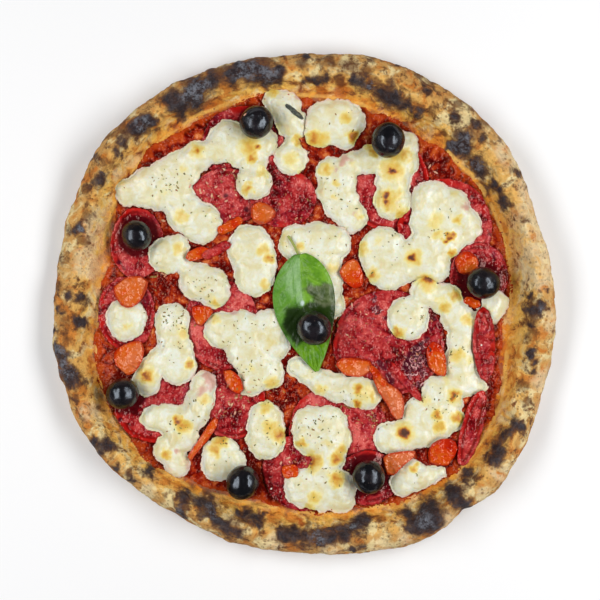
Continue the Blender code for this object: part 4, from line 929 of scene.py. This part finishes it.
LEAF_BASE = (300, 253)
LEAF_TIP = (317, 372)
LEAF_BOW = 3.0  # plan units by which the midrib bends aside
LEAF_HALF_WIDTH = 31.0  # plan units
LEAF_THICKNESS = 0.5 * MM
LEAF_LONG = 90  # faces along the blade, and across it
LEAF_WIDE = 50
BLADE_START = 0.012  # shares of the way from base to tip
BLADE_LENGTH = 0.982
VEINS = 7
VEIN_SLANT = 0.20  # how much further towards the tip a side vein ends than it starts
VEIN_WIDTH = 0.22
MIDRIB_WIDTH = 0.05
MIDRIB_DEPTH = 0.35 * MM
BULGE = 1.0 * MM
FULLNESS = 0.72  # under 1, the leaf is widest nearer its base
SHEEN = [  # where light glances off the blade, as (x, y, radius) in plan units
    (298, 261, 6), (293, 269, 8), (292, 279, 9), (294, 289, 9), (299, 298, 7),
]
SHINE = [(302, 303, 4)]
SHADE = [  # where it is dark beside the olive
    (290, 324, 8), (293, 331, 10), (299, 339, 7), (329, 322, 11), (334, 311, 8), (306, 314, 12),
    (325, 338, 6), (292, 313, 8), (315, 307, 8), (326, 308, 8), (312, 316, 10),
]
GREY_REFLECTION = [  # where a dull grey reflection is painted on the blade
    (309, 289, 6), (317, 291, 8), (325, 291, 9), (332, 292, 9), (334, 302, 7), (326, 302, 7), (318, 299, 6),
]
UNDER_OLIVE = (314, 328)  # where an olive stands on the blade
PRESSED = 0.3 * MM  # how far the olive presses the blade down
LEAF_STRAY = 1.4  # plan units by which the edges of the marks on it run in and out
LEAF_STRAY_SIZE = 5 * MM
STALK_END = (288, 236)
STALK_RADIUS = 0.9 * MM
STALK_BOW = 1.2 * MM


def leaf_spot(along, across):
    """A place on the leaf in the plan, from 0 at its base to 1 at its tip, and -1 to 1 across."""
    base, tip = Vector(LEAF_BASE), Vector(LEAF_TIP)
    length = tip - base
    aside = Vector((-length.y, length.x)).normalized()
    bow = LEAF_BOW * math.sin(math.pi * along)
    half_width = LEAF_HALF_WIDTH * max(0.0, math.sin(math.pi * along**FULLNESS)) ** 0.8
    return base + length * along + aside * (bow - half_width * across)


leaf_tree = tree_of(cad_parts["basil_leaf"])


def started(name, operator, **settings):
    """A new piece, started as one of Blender's primitives."""
    bpy.ops.object.select_all(action="DESELECT")
    operator(**settings)
    piece = bpy.context.object
    piece.name = name
    return piece


leaf = started("basil_blade", bpy.ops.mesh.primitive_grid_add, x_subdivisions=LEAF_WIDE,
               y_subdivisions=LEAF_LONG, size=2)
grid = corners_of(leaf)
shares = np.stack([BLADE_START + BLADE_LENGTH * (grid[:, 1] + 1) / 2, grid[:, 0]], axis=1)
blade = np.array([plan(*leaf_spot(along, across)) for along, across in shares])
heights = np.full(len(blade), np.nan)
for i, (x, y) in enumerate(blade):
    heights[i] = height_on(leaf_tree, x, y, np.nan)
known = ~np.isnan(heights)
for i in np.flatnonzero(~known):
    nearest = np.argmin(np.where(known, np.hypot(*(blade - blade[i]).T), 1.0))
    heights[i] = heights[nearest]
put_corners(leaf, np.column_stack([blade, heights]))
shaped(leaf, "SMOOTH", factor=0.5, iterations=12, use_x=False, use_y=False)
side = np.abs(shares[:, 1])
vein_phase = (shares[:, 0] - VEIN_SLANT * side**0.8) * VEINS
from_vein = np.abs(vein_phase - np.round(vein_phase)) * 2
groove = ridge(from_vein, 0, VEIN_WIDTH) * eased(side, 0.02, 0.1) * (1 - eased(side, 0.75, 0.98))
midrib = ridge(side * np.sin(np.pi * shares[:, 0] ** FULLNESS), 0, MIDRIB_WIDTH)
from_olive = np.hypot(*(blade - np.array(plan(*UNDER_OLIVE))).T)
under_olive = 1 - eased(from_olive, 7 * MM, 13 * MM)
bulge = BULGE * (1 - groove) * np.sin(np.pi * np.clip(side * 1.05, 0, 1)) - MIDRIB_DEPTH * midrib
corners = corners_of(leaf)
corners[:, 2] += bulge * (1 - under_olive) - PRESSED * under_olive
put_corners(leaf, corners)
leaf_spots = on_plan(corners) + LEAF_STRAY * waves(corners, LEAF_STRAY_SIZE, 2, 3.0)[:, None]
paint(leaf, vein=np.maximum(groove * 0.7, midrib), across=shares[:, 1], along=shares[:, 0],
      sheen=marked(leaf_spots, SHEEN), shine=marked(leaf_spots, SHINE), shade=marked(leaf_spots, SHADE),
      bruise=marked(leaf_spots, GREY_REFLECTION))
shaped(leaf, "SOLIDIFY", thickness=LEAF_THICKNESS, offset=-1)

leaf_finish, tree, shader = new_finish("basil", Roughness=0.3, Specular_IOR_Level=0.24)
cells = clouds(tree, 1.2 * MM, 3, 0.6)
patches = clouds(tree, 6 * MM, 2, 0.5)
stretched = times(tree, painted(tree, "along"), 0.3)
lengthwise = wired(tree, "CombineXYZ", {0: painted(tree, "across"), 1: stretched})
streaks = wired(tree, "TexNoise", {"Vector": lengthwise.outputs[0], "Scale": 9.0, "Detail": 4.0}).outputs[0]
left = between(tree, painted(tree, "across"), 0.02, -0.08)
green = mixed(tree, left, hue(118, 168, 44), hue(98, 150, 52))
green = mixed(tree, between(tree, painted(tree, "along"), 0.70, 0.82), green, hue(102, 152, 0))
green = tinted(tree, green, patches, 0.42, 0.62, 0.5, hue(58, 116, 10))
sheen = times(tree, painted(tree, "sheen"), between(tree, streaks, 0.36, 0.6, 0.35, 1.0))
green = tinted(tree, green, sheen, 0.1, 1.0, 0.85, hue(148, 186, 128))
green = mixed(tree, times(tree, painted(tree, "vein"), 0.3), green, hue(140, 186, 70))
green = tinted(tree, green, cells, 0.4, 0.75, 0.25, hue(40, 88, 24))
shade = ragged(tree, "shade", (patches, 0.7), (cells, 0.2))
green = tinted(tree, green, shade, 0.15, 1.0, 0.92, hue(24, 38, 12))
# painted reflection: a dull grey patch on the blade's right half
bruise = ragged(tree, "bruise", (patches, 1.0), (cells, 0.3))
grey_reflection_colour = mixed(tree, between(tree, clouds(tree, 4.5 * MM, 2), 0.35, 0.65), hue(56, 68, 34), hue(98, 106, 74))
green = tinted(tree, green, bruise, 0.25, 1.15, 0.92, grey_reflection_colour)
green = tinted(tree, green, painted(tree, "shine"), 0.3, 1.0, 0.9, hue(206, 226, 222))
feed(tree, shader, Base_Color=green)
relief(tree, shader, summed(tree, clouds(tree, 2 * MM, 1), (painted(tree, "vein"), 0.3)), 0.4 * MM)
settle(leaf, leaf_finish, "basil", "basil_leaf")

stalk = started("basil_stalk", bpy.ops.mesh.primitive_cylinder_add, vertices=12, radius=STALK_RADIUS, depth=2,
                end_fill_type="NGON")
edited(stalk, bpy.ops.mesh.subdivide, number_cuts=1)
for height in np.linspace(-0.9, 0.9, 13):
    edited(stalk, bpy.ops.mesh.bisect, plane_co=(0, 0, height), plane_no=(0, 0, 1))
corners = corners_of(stalk)
start = Vector((*plan(*leaf_spot(0.10, 0)), 0))
end = Vector((*plan(*STALK_END), 0))
stalk_side = Vector((end.y - start.y, start.x - end.x, 0)).normalized()
for i, (x, y, z) in enumerate(corners):
    share = (z + 1) / 2
    middle = start.lerp(end, share) + stalk_side * STALK_BOW * math.sin(math.pi * share)
    ground = height_on(leaf_tree, middle.x, middle.y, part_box("basil_leaf")[1].z)
    slim = 0.55 + 0.45 * share
    middle.z = ground - (0.5 + 0.5 * (1 - share)) * STALK_RADIUS
    corners[i] = middle + stalk_side * x * slim + Vector((0, 0, y * slim))
put_corners(stalk, corners)
edited(stalk, bpy.ops.mesh.normals_make_consistent, inside=False)
shaped(stalk, "SMOOTH", factor=0.5, iterations=3, use_x=False, use_y=False)
stalk_finish, tree, shader = new_finish("basil stalk", Roughness=0.4)
stalk_tone = clouds(tree, 2 * MM, 3, 0.6)
feed(tree, shader, Base_Color=mixed(tree, stalk_tone, hue(168, 176, 80), hue(120, 136, 48)))
relief(tree, shader, stalk_tone, 0.3 * MM, 0.6)
settle(stalk, stalk_finish, "basil", "basil_leaf")

# ---------------------------------------------------------------- the olives
# Whole black olives set down on top, a little longer than they are wide, taut and shiny with oil. Each
# has a small scar where its stalk was, and is pressed a little flat where it rests.

OLIVE_REST = 0.80  # how far below its middle an olive is pressed flat, as a share of its radius
OLIVE_GIVE = 0.15  # how much it still bulges below that
OLIVE_COUNT = 8
OLIVE_LENGTH = 1.07
OLIVE_TURN = 0.7  # radians by which each lies turned from the one before
OLIVE_TAPER = 0.05
OLIVE_LUMP = 0.22 * MM
OLIVE_LUMP_SIZE = 7 * MM
SCAR_DEPTH = 0.7 * MM
SCAR_RADIUS = 1.3 * MM

olive_finish, tree, shader = new_finish("black olive", Specular_IOR_Level=0.75,
                                        Specular_Tint=(0.78, 0.88, 1.0, 1))
blush = clouds(tree, 7 * MM, 3, 0.5)
pores = clouds(tree, 0.9 * MM, 3, 0.6)
colour = mixed(tree, between(tree, blush, 0.35, 0.72), hue(4, 2, 5), hue(26, 16, 20))
colour = mixed(tree, specks(tree, 1.3 * MM, 0.12), colour, hue(58, 48, 44))
feed(tree, shader, Base_Color=colour, Roughness=between(tree, blush, 0.3, 0.7, 0.2, 0.3))
relief(tree, shader, summed(tree, clouds(tree, 6 * MM, 1), (pores, 0.06)), 1.0 * MM)

for number in range(1, OLIVE_COUNT + 1):
    low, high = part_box(f"olive_{number}")
    middle = (low + high) / 2
    turn = OLIVE_TURN * number
    radius = (high.z - low.z) / (1 + OLIVE_REST)
    olive = started(f"whole_olive_{number}", bpy.ops.mesh.primitive_uv_sphere_add, segments=40, ring_count=28,
                    radius=radius)
    corners = corners_of(olive)
    pole = corners[:, 2] / radius
    corners[:, :2] *= (1 - OLIVE_TAPER * pole * np.abs(pole))[:, None]
    scar = ridge(np.hypot(corners[:, 0], corners[:, 1]), 0, SCAR_RADIUS) * (pole > 0)
    corners[:, 2] = corners[:, 2] * OLIVE_LENGTH - SCAR_DEPTH * scar
    corners = np.column_stack([corners[:, 2], corners[:, 1], -corners[:, 0]])
    corners += corners / radius * (OLIVE_LUMP * waves(corners, OLIVE_LUMP_SIZE, 2, number))[:, None]
    turned = corners.copy()
    turned[:, 0] = corners[:, 0] * math.cos(turn) - corners[:, 1] * math.sin(turn) + middle.x
    turned[:, 1] = corners[:, 0] * math.sin(turn) + corners[:, 1] * math.cos(turn) + middle.y
    flat = -OLIVE_REST * radius
    turned[:, 2] = np.where(turned[:, 2] < flat, flat + OLIVE_GIVE * (turned[:, 2] - flat), turned[:, 2])
    turned[:, 2] += high.z - radius
    put_corners(olive, turned)
    settle(olive, olive_finish, "olive", f"olive_{number}")

# ---------------------------------------------------------------- the painted shade
# The sauce and the salami are darkened with painted shade where the toppings close in round them, and
# all round each olive.

SHADE_REACH = 6.5 * MM
LOOK_FROM = 0.9 * MM  # above the surface, so that its own small bumps hide nothing
OLIVE_SHADE_REACH = 23  # plan units from the middle of an olive
OLIVE_SHADE = 1.4  # how much painted shade lies round an olive, where the darkest place between pieces has 1
LOOKS_ROUND = [(math.radians(turn), math.radians(rise)) for rise in (18, 48) for turn in range(0, 360, 45)]
SO_FAR = ("baked", "salami", "mozzarella", "roasted", "basil", "black")  # how the finishes' names start

dressed = [piece for piece in bpy.data.objects if piece.type == "MESH" and not piece.hide_render
           and piece.data.materials and piece.data.materials[0].name.startswith(SO_FAR)]
dressed_tree = tree_of(*dressed)


def called(*starts):
    """The pieces so far whose names start in one of these ways."""
    return [piece for piece in dressed if piece.name.startswith(starts)]


looks = [Vector((math.cos(turn) * math.cos(rise), math.sin(turn) * math.cos(rise), math.sin(rise)))
         for turn, rise in LOOKS_ROUND]
olive_middles = np.array([corners_of(piece).mean(0) for piece in called("whole")])
olive_shade = [(x, y, OLIVE_SHADE_REACH) for x, y in on_plan(olive_middles)]
for piece in called("spread", "slice"):
    corners = corners_of(piece)
    open_up = normals_of(piece)[:, 2] > 0.25
    crevice = np.zeros(len(corners))
    for i in np.flatnonzero(open_up):
        start = Vector(corners[i]) + Vector((0, 0, LOOK_FROM))
        blocked = sum(dressed_tree.ray_cast(start, look, SHADE_REACH)[0] is not None for look in looks)
        crevice[i] = blocked / len(looks)
    paint(piece, crevice=crevice + OLIVE_SHADE * marked(on_plan(corners), olive_shade))

# ---------------------------------------------------------------- the dried herbs
# Dried oregano rubbed between the fingers over everything before baking: thin curled scraps, dark on the
# cheese, and straw coloured where the fat of the salami soaked them.

HERBS = [  # where they fell thickest, as (x, y, radius, how many) in plan units
    (170, 183, 22, 70), (205, 205, 22, 20), (232, 178, 16, 26), (205, 283, 20, 56), (172, 318, 16, 70),
    (178, 350, 16, 26), (185, 420, 22, 40), (240, 330, 26, 34), (255, 370, 22, 26), (320, 428, 22, 70),
    (330, 470, 22, 34), (350, 390, 22, 30), (345, 190, 22, 34), (300, 250, 24, 18), (395, 245, 26, 28),
    (440, 225, 24, 24), (418, 318, 20, 30), (455, 350, 18, 40), (440, 400, 24, 70), (225, 455, 18, 14),
    (268, 430, 16, 22), (420, 475, 16, 10), (340, 125, 16, 10), (225, 150, 24, 18), (228, 400, 18, 34),
    (250, 395, 20, 40), (225, 220, 16, 24), (215, 195, 14, 12), (160, 280, 14, 30), (300, 470, 24, 20),
    (360, 330, 26, 30), (412, 356, 10, 16), (372, 420, 16, 40), (300, 380, 100, 90), (300, 220, 100, 70),
]
SCRAP = 1.8 * MM  # a scrap's usual length
THINNED = 0.55  # the share of the scraps that stayed on
MOST_OUT = 228  # plan units from the middle
SCRAP_HEIGHT = 0.3 * MM
SCRAP_SINK = 0.08 * MM
LONGER = 1.35  # how much longer the scraps off the cheese are
TOUCH = 0.05 * MM  # two places no farther apart than this are one


def shape_of(piece):
    """The corners and the faces of a piece, which is itself taken away."""
    shape = corners_of(piece), [face.vertices[:] for face in piece.data.polygons]
    bpy.data.objects.remove(piece)
    return shape


grain_shape = shape_of(started("grain", bpy.ops.mesh.primitive_ico_sphere_add, subdivisions=1, radius=1))


def strewn(name, grains, shape):
    """One piece made of many copies of a shape, each a (place, lie, length, width, height)."""
    shape_corners, shape_faces = shape
    corners, faces = [], []
    for place, lie, *size in grains:
        start = len(corners) * len(shape_corners)
        turned = np.array(lie) @ (shape_corners * np.array(size) / 2).T
        corners.append(turned.T + np.array(place))
        faces += [[corner + start for corner in face] for face in shape_faces]
    mesh = bpy.data.meshes.new(name)
    mesh.from_pydata(np.concatenate(corners).tolist(), [], faces)
    return placed(name, mesh)


def laid(along, upward):
    """The lie of a grain flat on a surface, its length along."""
    return Matrix((along, upward.cross(along), upward)).transposed()


def lying(chance, upward):
    """The lie of a grain flat on a surface, turned any way."""
    turn = chance.uniform(0, 2 * math.pi)
    return laid(Vector((math.cos(turn), math.sin(turn), 0)).cross(upward).normalized(), upward)


def lies_on(tree, place):
    return abs(height_on(tree, place.x, place.y) - place.z) < TOUCH


def landed(chance, x, y, radius):
    """Where something dropped near a spot of the plan comes to rest: the place, and the way up there."""
    spot = plan(chance.gauss(x, radius / 2), chance.gauss(y, radius / 2))
    if math.hypot(*spot) > MOST_OUT * PLAN_UNIT:
        return None
    place, upward = under(dressed_tree, *spot)
    if place is None or upward.z < 0.5 or lies_on(bare_tree, place):
        return None
    return place, upward


bare_tree = tree_of(*called("basil", "whole"))
cheese_tree = tree_of(*called("cheese"))
chance = random.Random(11)
scraps, dryness = [], []
for x, y, radius, count in HERBS:
    for _ in range(round(THINNED * count)):
        landing = landed(chance, x, y, radius)
        length = SCRAP * chance.uniform(0.5, 1.5)
        dry = chance.uniform(0, 1)
        if landing is None:
            continue
        place, upward = landing
        on_cheese = lies_on(cheese_tree, place)
        length *= 1 if on_cheese else LONGER
        place = place - upward * SCRAP_SINK
        scraps.append((place, lying(chance, upward), length, length * 0.5, SCRAP_HEIGHT))
        dryness.append(dry * 0.6 if on_cheese else 0.45 + 0.5 * dry)
herbs = strewn("dried_herbs", scraps, grain_shape)
paint(herbs, dry=np.repeat(dryness, len(grain_shape[0])))
herb_finish, tree, shader = new_finish("dried herbs", Roughness=0.75)
tone = graded(tree, summed(tree, painted(tree, "dry"), (clouds(tree, 1 * MM, 2), 0.1)), [
    (0.0, hue(84, 84, 34)), (0.35, hue(138, 134, 66)), (0.55, hue(150, 124, 60)), (0.68, hue(160, 84, 50)),
    (0.86, hue(214, 144, 104)), (1.0, hue(242, 200, 164)),
])
feed(tree, shader, Base_Color=tone)
settle(herbs, herb_finish, "basil")

# ---------------------------------------------------------------- the beads of fat
# Fat that sweated out of the salami stands in small round beads on the slices and the sauce. Larger drops
# of it stand along the edge of the sauce.

BEADS = 420
ALL_OVER = (300, 302, 230)  # (x, y, radius) in plan units
DROPS = 60  # along the edge of the sauce
DROP_STRAY = 3.5 * MM

wet_tree = tree_of(*called("spread", "slice"))
bead_spots = []
while len(bead_spots) < BEADS:
    landing = landed(chance, *ALL_OVER)
    if landing is None:
        continue
    place, upward = landing
    if not lies_on(wet_tree, place):
        continue
    width = chance.uniform(0.5, 1.3) * MM
    bead_spots.append((place, lying(chance, upward), width, width * chance.uniform(0.7, 1), width * 0.6))
for _ in range(DROPS):
    turn = chance.uniform(0, 2 * math.pi)
    out = shore_radius(np.degrees(turn)) + chance.uniform(0, DROP_STRAY)
    place, upward = under(dressed_tree, out * math.cos(turn), out * math.sin(turn))
    width = chance.uniform(0.6, 1.6) * MM
    bead_spots.append((place, lying(chance, upward), width, width * chance.uniform(0.7, 1), width * 0.5))
beads = strewn("fat_beads", bead_spots, grain_shape)
bead_finish, tree, shader = new_finish("beads of fat", Roughness=0.12, Specular_IOR_Level=0.8)
feed(tree, shader, Base_Color=mixed(tree, clouds(tree, 6 * MM, 3), hue(120, 20, 12), hue(216, 120, 84)))
settle(beads, bead_finish, "salami")

# ---------------------------------------------------------------- the buds and stems of the herbs
# Among the scraps lie whole buds and bits of stem, plump with fat where they fell on the salami. They are
# the colour of straw there.

STEMS = [  # (x, y, turn in degrees) in plan units
    (220, 411, 60), (235, 413, 75), (244, 407, 80), (236, 398, 10), (223, 397, 25), (241, 430, 20),
    (229, 404, 120), (213, 404, 50), (249, 392, 0), (207, 183, 130), (216, 187, 40), (200, 190, 90),
    (226, 201, 20), (190, 186, 60), (343, 313, 30), (352, 305, 100), (246, 118, 30), (430, 166, 60),
    (436, 172, 150), (281, 463, 70), (288, 458, 20),
]
STEM_LENGTH = 3.4 * MM
STEM_WIDTH = 1.4 * MM

stem_spots = []
for x, y, turn in STEMS:
    place, upward = under(dressed_tree, *plan(x, y))
    along = Vector((math.cos(math.radians(turn)), math.sin(math.radians(turn)), 0))
    lie = laid((along - upward * along.dot(upward)).normalized(), upward)
    stem_spots.append((place, lie, STEM_LENGTH * chance.uniform(0.7, 1.2), STEM_WIDTH, 0.7 * STEM_WIDTH))
stems = strewn("herb_stems", stem_spots, grain_shape)
stem_finish, tree, shader = new_finish("herb stems", Roughness=0.35)
feed(tree, shader, Base_Color=mixed(tree, clouds(tree, 2 * MM, 2), hue(206, 120, 96), hue(244, 204, 172)))
settle(stems, stem_finish, "basil")

# ---------------------------------------------------------------- the loose scraps
# Strips of tomato and ends of salami that fell from the chopping board, a sliver of burnt basil, and
# drops of cheese. Each lies over whatever is under it.

TOMATO_SCRAPS = [  # (start, end, width) in plan units
    ((218, 232), (242, 219), 9), ((464, 299), (480, 306), 8), ((282, 472), (298, 470), 12),
    ((370, 366), (386, 386), 7),
]
SALAMI_SCRAPS = [((203, 257), (230, 243), 9), ((388, 361), (421, 400), 8)]
SCRAP_THICK = 1.7 * MM
FRAYED = 0.48 * MM  # how uneven a strip's sides are
STRIP_SINK = 0.2 * MM
SLIVER = ((286, 105), (303, 119), 4.5)  # of burnt basil
SLIVER_THICK = 0.8 * MM
CHEESE_DROPS = [  # (x, y, width) in plan units
    (481, 345, 2.2), (271, 489, 2.4), (280, 492, 1.2), (478, 308, 4.4), (474, 306, 2.6), (416, 150, 1.6),
]


def strip(name, start, end, width, thick, seed):
    """A thin strip draped over whatever lies under it, between two spots of the plan."""
    piece = started(name, bpy.ops.mesh.primitive_cube_add, size=2)
    edited(piece, bpy.ops.mesh.subdivide, number_cuts=11)
    corners = corners_of(piece)
    first, last = np.array(plan(*start)), np.array(plan(*end))
    run = last - first
    aside = np.array((-run[1], run[0])) / np.hypot(*run)
    slim = np.sqrt(1 - 0.85 * np.abs(corners[:, 0]) ** 5) * (1 + 0.25 * waves(corners, 0.9, 2, seed))
    flat = first + np.outer((corners[:, 0] + 1) / 2, run)
    flat += np.outer(corners[:, 1] * slim, aside * width * PLAN_UNIT / 2)
    ground = np.array([height_on(dressed_tree, x, y) for x, y in flat])
    dome = 1 - 0.45 * corners[:, 1] ** 4
    heights = ground - STRIP_SINK + (thick * dome + STRIP_SINK) * (corners[:, 2] + 1) / 2
    put_corners(piece, np.column_stack([flat, heights]))
    shaped(piece, "SMOOTH", factor=0.5, iterations=5, use_x=False, use_y=False)
    corners = corners_of(piece)
    corners += normals_of(piece) * (FRAYED * waves(corners, 3 * MM, 2, seed))[:, None]
    put_corners(piece, corners)
    return edited(piece, bpy.ops.mesh.normals_make_consistent, inside=False)


for number, (start, end, width) in enumerate(TOMATO_SCRAPS, 1):
    piece = strip(f"tomato_scrap_{number}", start, end, width, SCRAP_THICK, number)
    paint(piece, from_edge=5.0)
    settle(piece, tomato_finish, "roasted_tomato")
for number, (start, end, width) in enumerate(SALAMI_SCRAPS, 1):
    piece = strip(f"salami_scrap_{number}", start, end, width, SCRAP_THICK, number + 10)
    paint(piece, glazed=0.4 + 0.4 * waves(corners_of(piece), 4 * MM, 1, number))
    settle(piece, salami_finish, "salami")

sliver = strip("burnt_sliver", *SLIVER, SLIVER_THICK, 30)
sliver_finish, tree, shader = new_finish("burnt basil", Roughness=0.6)
scorching = between(tree, clouds(tree, 1.6 * MM, 3), 0.4, 0.6)
feed(tree, shader, Base_Color=mixed(tree, scorching, hue(38, 44, 40), hue(92, 98, 84)))
settle(sliver, sliver_finish, "basil")

drop_spots = []
for x, y, width in CHEESE_DROPS:
    place, upward = under(dressed_tree, *plan(x, y))
    width *= PLAN_UNIT
    drop_spots.append((place, lying(chance, upward), width, width, width * 0.6))
drops = strewn("cheese_drops", drop_spots, grain_shape)
drop_finish, tree, shader = new_finish("cheese drops", Roughness=0.35, Base_Color=hue(250, 240, 228))
settle(drops, drop_finish, "mozzarella")

# ---------------------------------------------------------------- the crackling
# Where the largest slice puckered, its edge fried into small curls, dark red to pale pink, the pale pink
# partly a painted highlight. They stand crowded in the fold, which is darkened with painted shade.

CRACKLED = [  # where the curls stand, as (x, y, radius, how many) in plan units
    (418, 360, 8, 40), (412, 370, 8, 34), (424, 372, 6, 16), (420, 384, 5, 10), (422, 346, 5, 10),
    (377, 310, 6, 12), (375, 300, 5, 8),
]
CURL_SIZE = 3.3 * MM
CURL_LIFT = 0.2 * MM

half_ring = started("half_ring", bpy.ops.mesh.primitive_torus_add, major_segments=12, minor_segments=5,
                    major_radius=0.72, minor_radius=0.28)
edited(half_ring, bpy.ops.mesh.bisect, plane_co=(0, 0, 0), plane_no=(0.2, 1, 0), clear_inner=True,
       use_fill=True)
curl_shape = shape_of(half_ring)

curl_spots, paleness = [], []
for x, y, radius, count in CRACKLED:
    for _ in range(count):
        landing = landed(chance, x, y, radius)
        size = CURL_SIZE * chance.uniform(0.5, 1.2)
        pale = chance.uniform(0, 1)
        if landing is None:
            continue
        place, upward = landing
        lean = (upward + Vector((chance.uniform(-0.5, 0.5), chance.uniform(-0.5, 0.5), 0))).normalized()
        curl_spots.append((place + upward * CURL_LIFT, lying(chance, lean), size, size * 0.8, size * 0.8))
        paleness.append(pale)
curls = strewn("crackling", curl_spots, curl_shape)
paint(curls, pale=np.repeat(paleness, len(curl_shape[0])))
curl_finish, tree, shader = new_finish("crackling", Roughness=0.2, Specular_IOR_Level=0.7)
# partly painted highlight: the palest curls stand in for glints
feed(tree, shader, Base_Color=graded(tree, painted(tree, "pale"), [
    (0.0, hue(70, 4, 22)), (0.4, hue(128, 34, 50)), (0.7, hue(188, 108, 114)), (1.0, hue(230, 176, 172)),
]))
settle(curls, curl_finish, "salami")

# ---------------------------------------------------------------- the floor, the light and the camera
# A pale table, two long soft lamps overhead to the left and the right, a faint light from all round, and
# a camera that looks straight down.

FLOOR_SIZE = 6.0
FLOOR_DROP = 0.2 * MM  # how far it lies under the crust
LAMPS = {"left_lamp": (-1, 9.3), "right_lamp": (1, 11.4)}  # the side each is on, and its watts
LAMP_PLACE = (0.78, 0.85)  # metres aside and up
LAMP_SIZE = (1.3, 0.4)
SKY_COLOUR = (0.98, 0.99, 1.0, 1)
SKY_STRENGTH = 0.1
CAMERA_HEIGHT = 0.915
CAMERA_PLACE = plan(300, 300)
CAMERA_LENS = 85
CAMERA_SENSOR = 36

floor = started("floor", bpy.ops.mesh.primitive_plane_add, size=FLOOR_SIZE, location=(0, 0, -FLOOR_DROP))
floor_finish, tree, shader = new_finish("pale table", Roughness=0.9, Base_Color=(0.94, 0.94, 0.945, 1))
floor.data.materials.append(floor_finish)

for name, (side, power) in LAMPS.items():
    lamp = bpy.data.lights.new(name, "AREA")
    lamp.shape = "RECTANGLE"
    lamp.size, lamp.size_y = LAMP_SIZE
    lamp.energy = power
    hung = placed(name, lamp)
    hung.location = (side * LAMP_PLACE[0], 0, LAMP_PLACE[1])
    hung.rotation_euler = Vector(hung.location).to_track_quat("Z", "Y").to_euler()
    hung.visible_camera = False

sky = bpy.data.worlds.new("studio")
bpy.context.scene.world = sky
sky.use_nodes = True
glow = sky.node_tree.nodes["Background"].inputs
glow["Color"].default_value = SKY_COLOUR
glow["Strength"].default_value = SKY_STRENGTH
bpy.context.scene.view_settings.view_transform = "Standard"

camera = bpy.data.cameras.new("camera")
camera.lens = CAMERA_LENS
camera.sensor_width = CAMERA_SENSOR
camera_object = placed("camera", camera)
camera_object.location = (*CAMERA_PLACE, CAMERA_HEIGHT)
bpy.context.scene.camera = camera_object
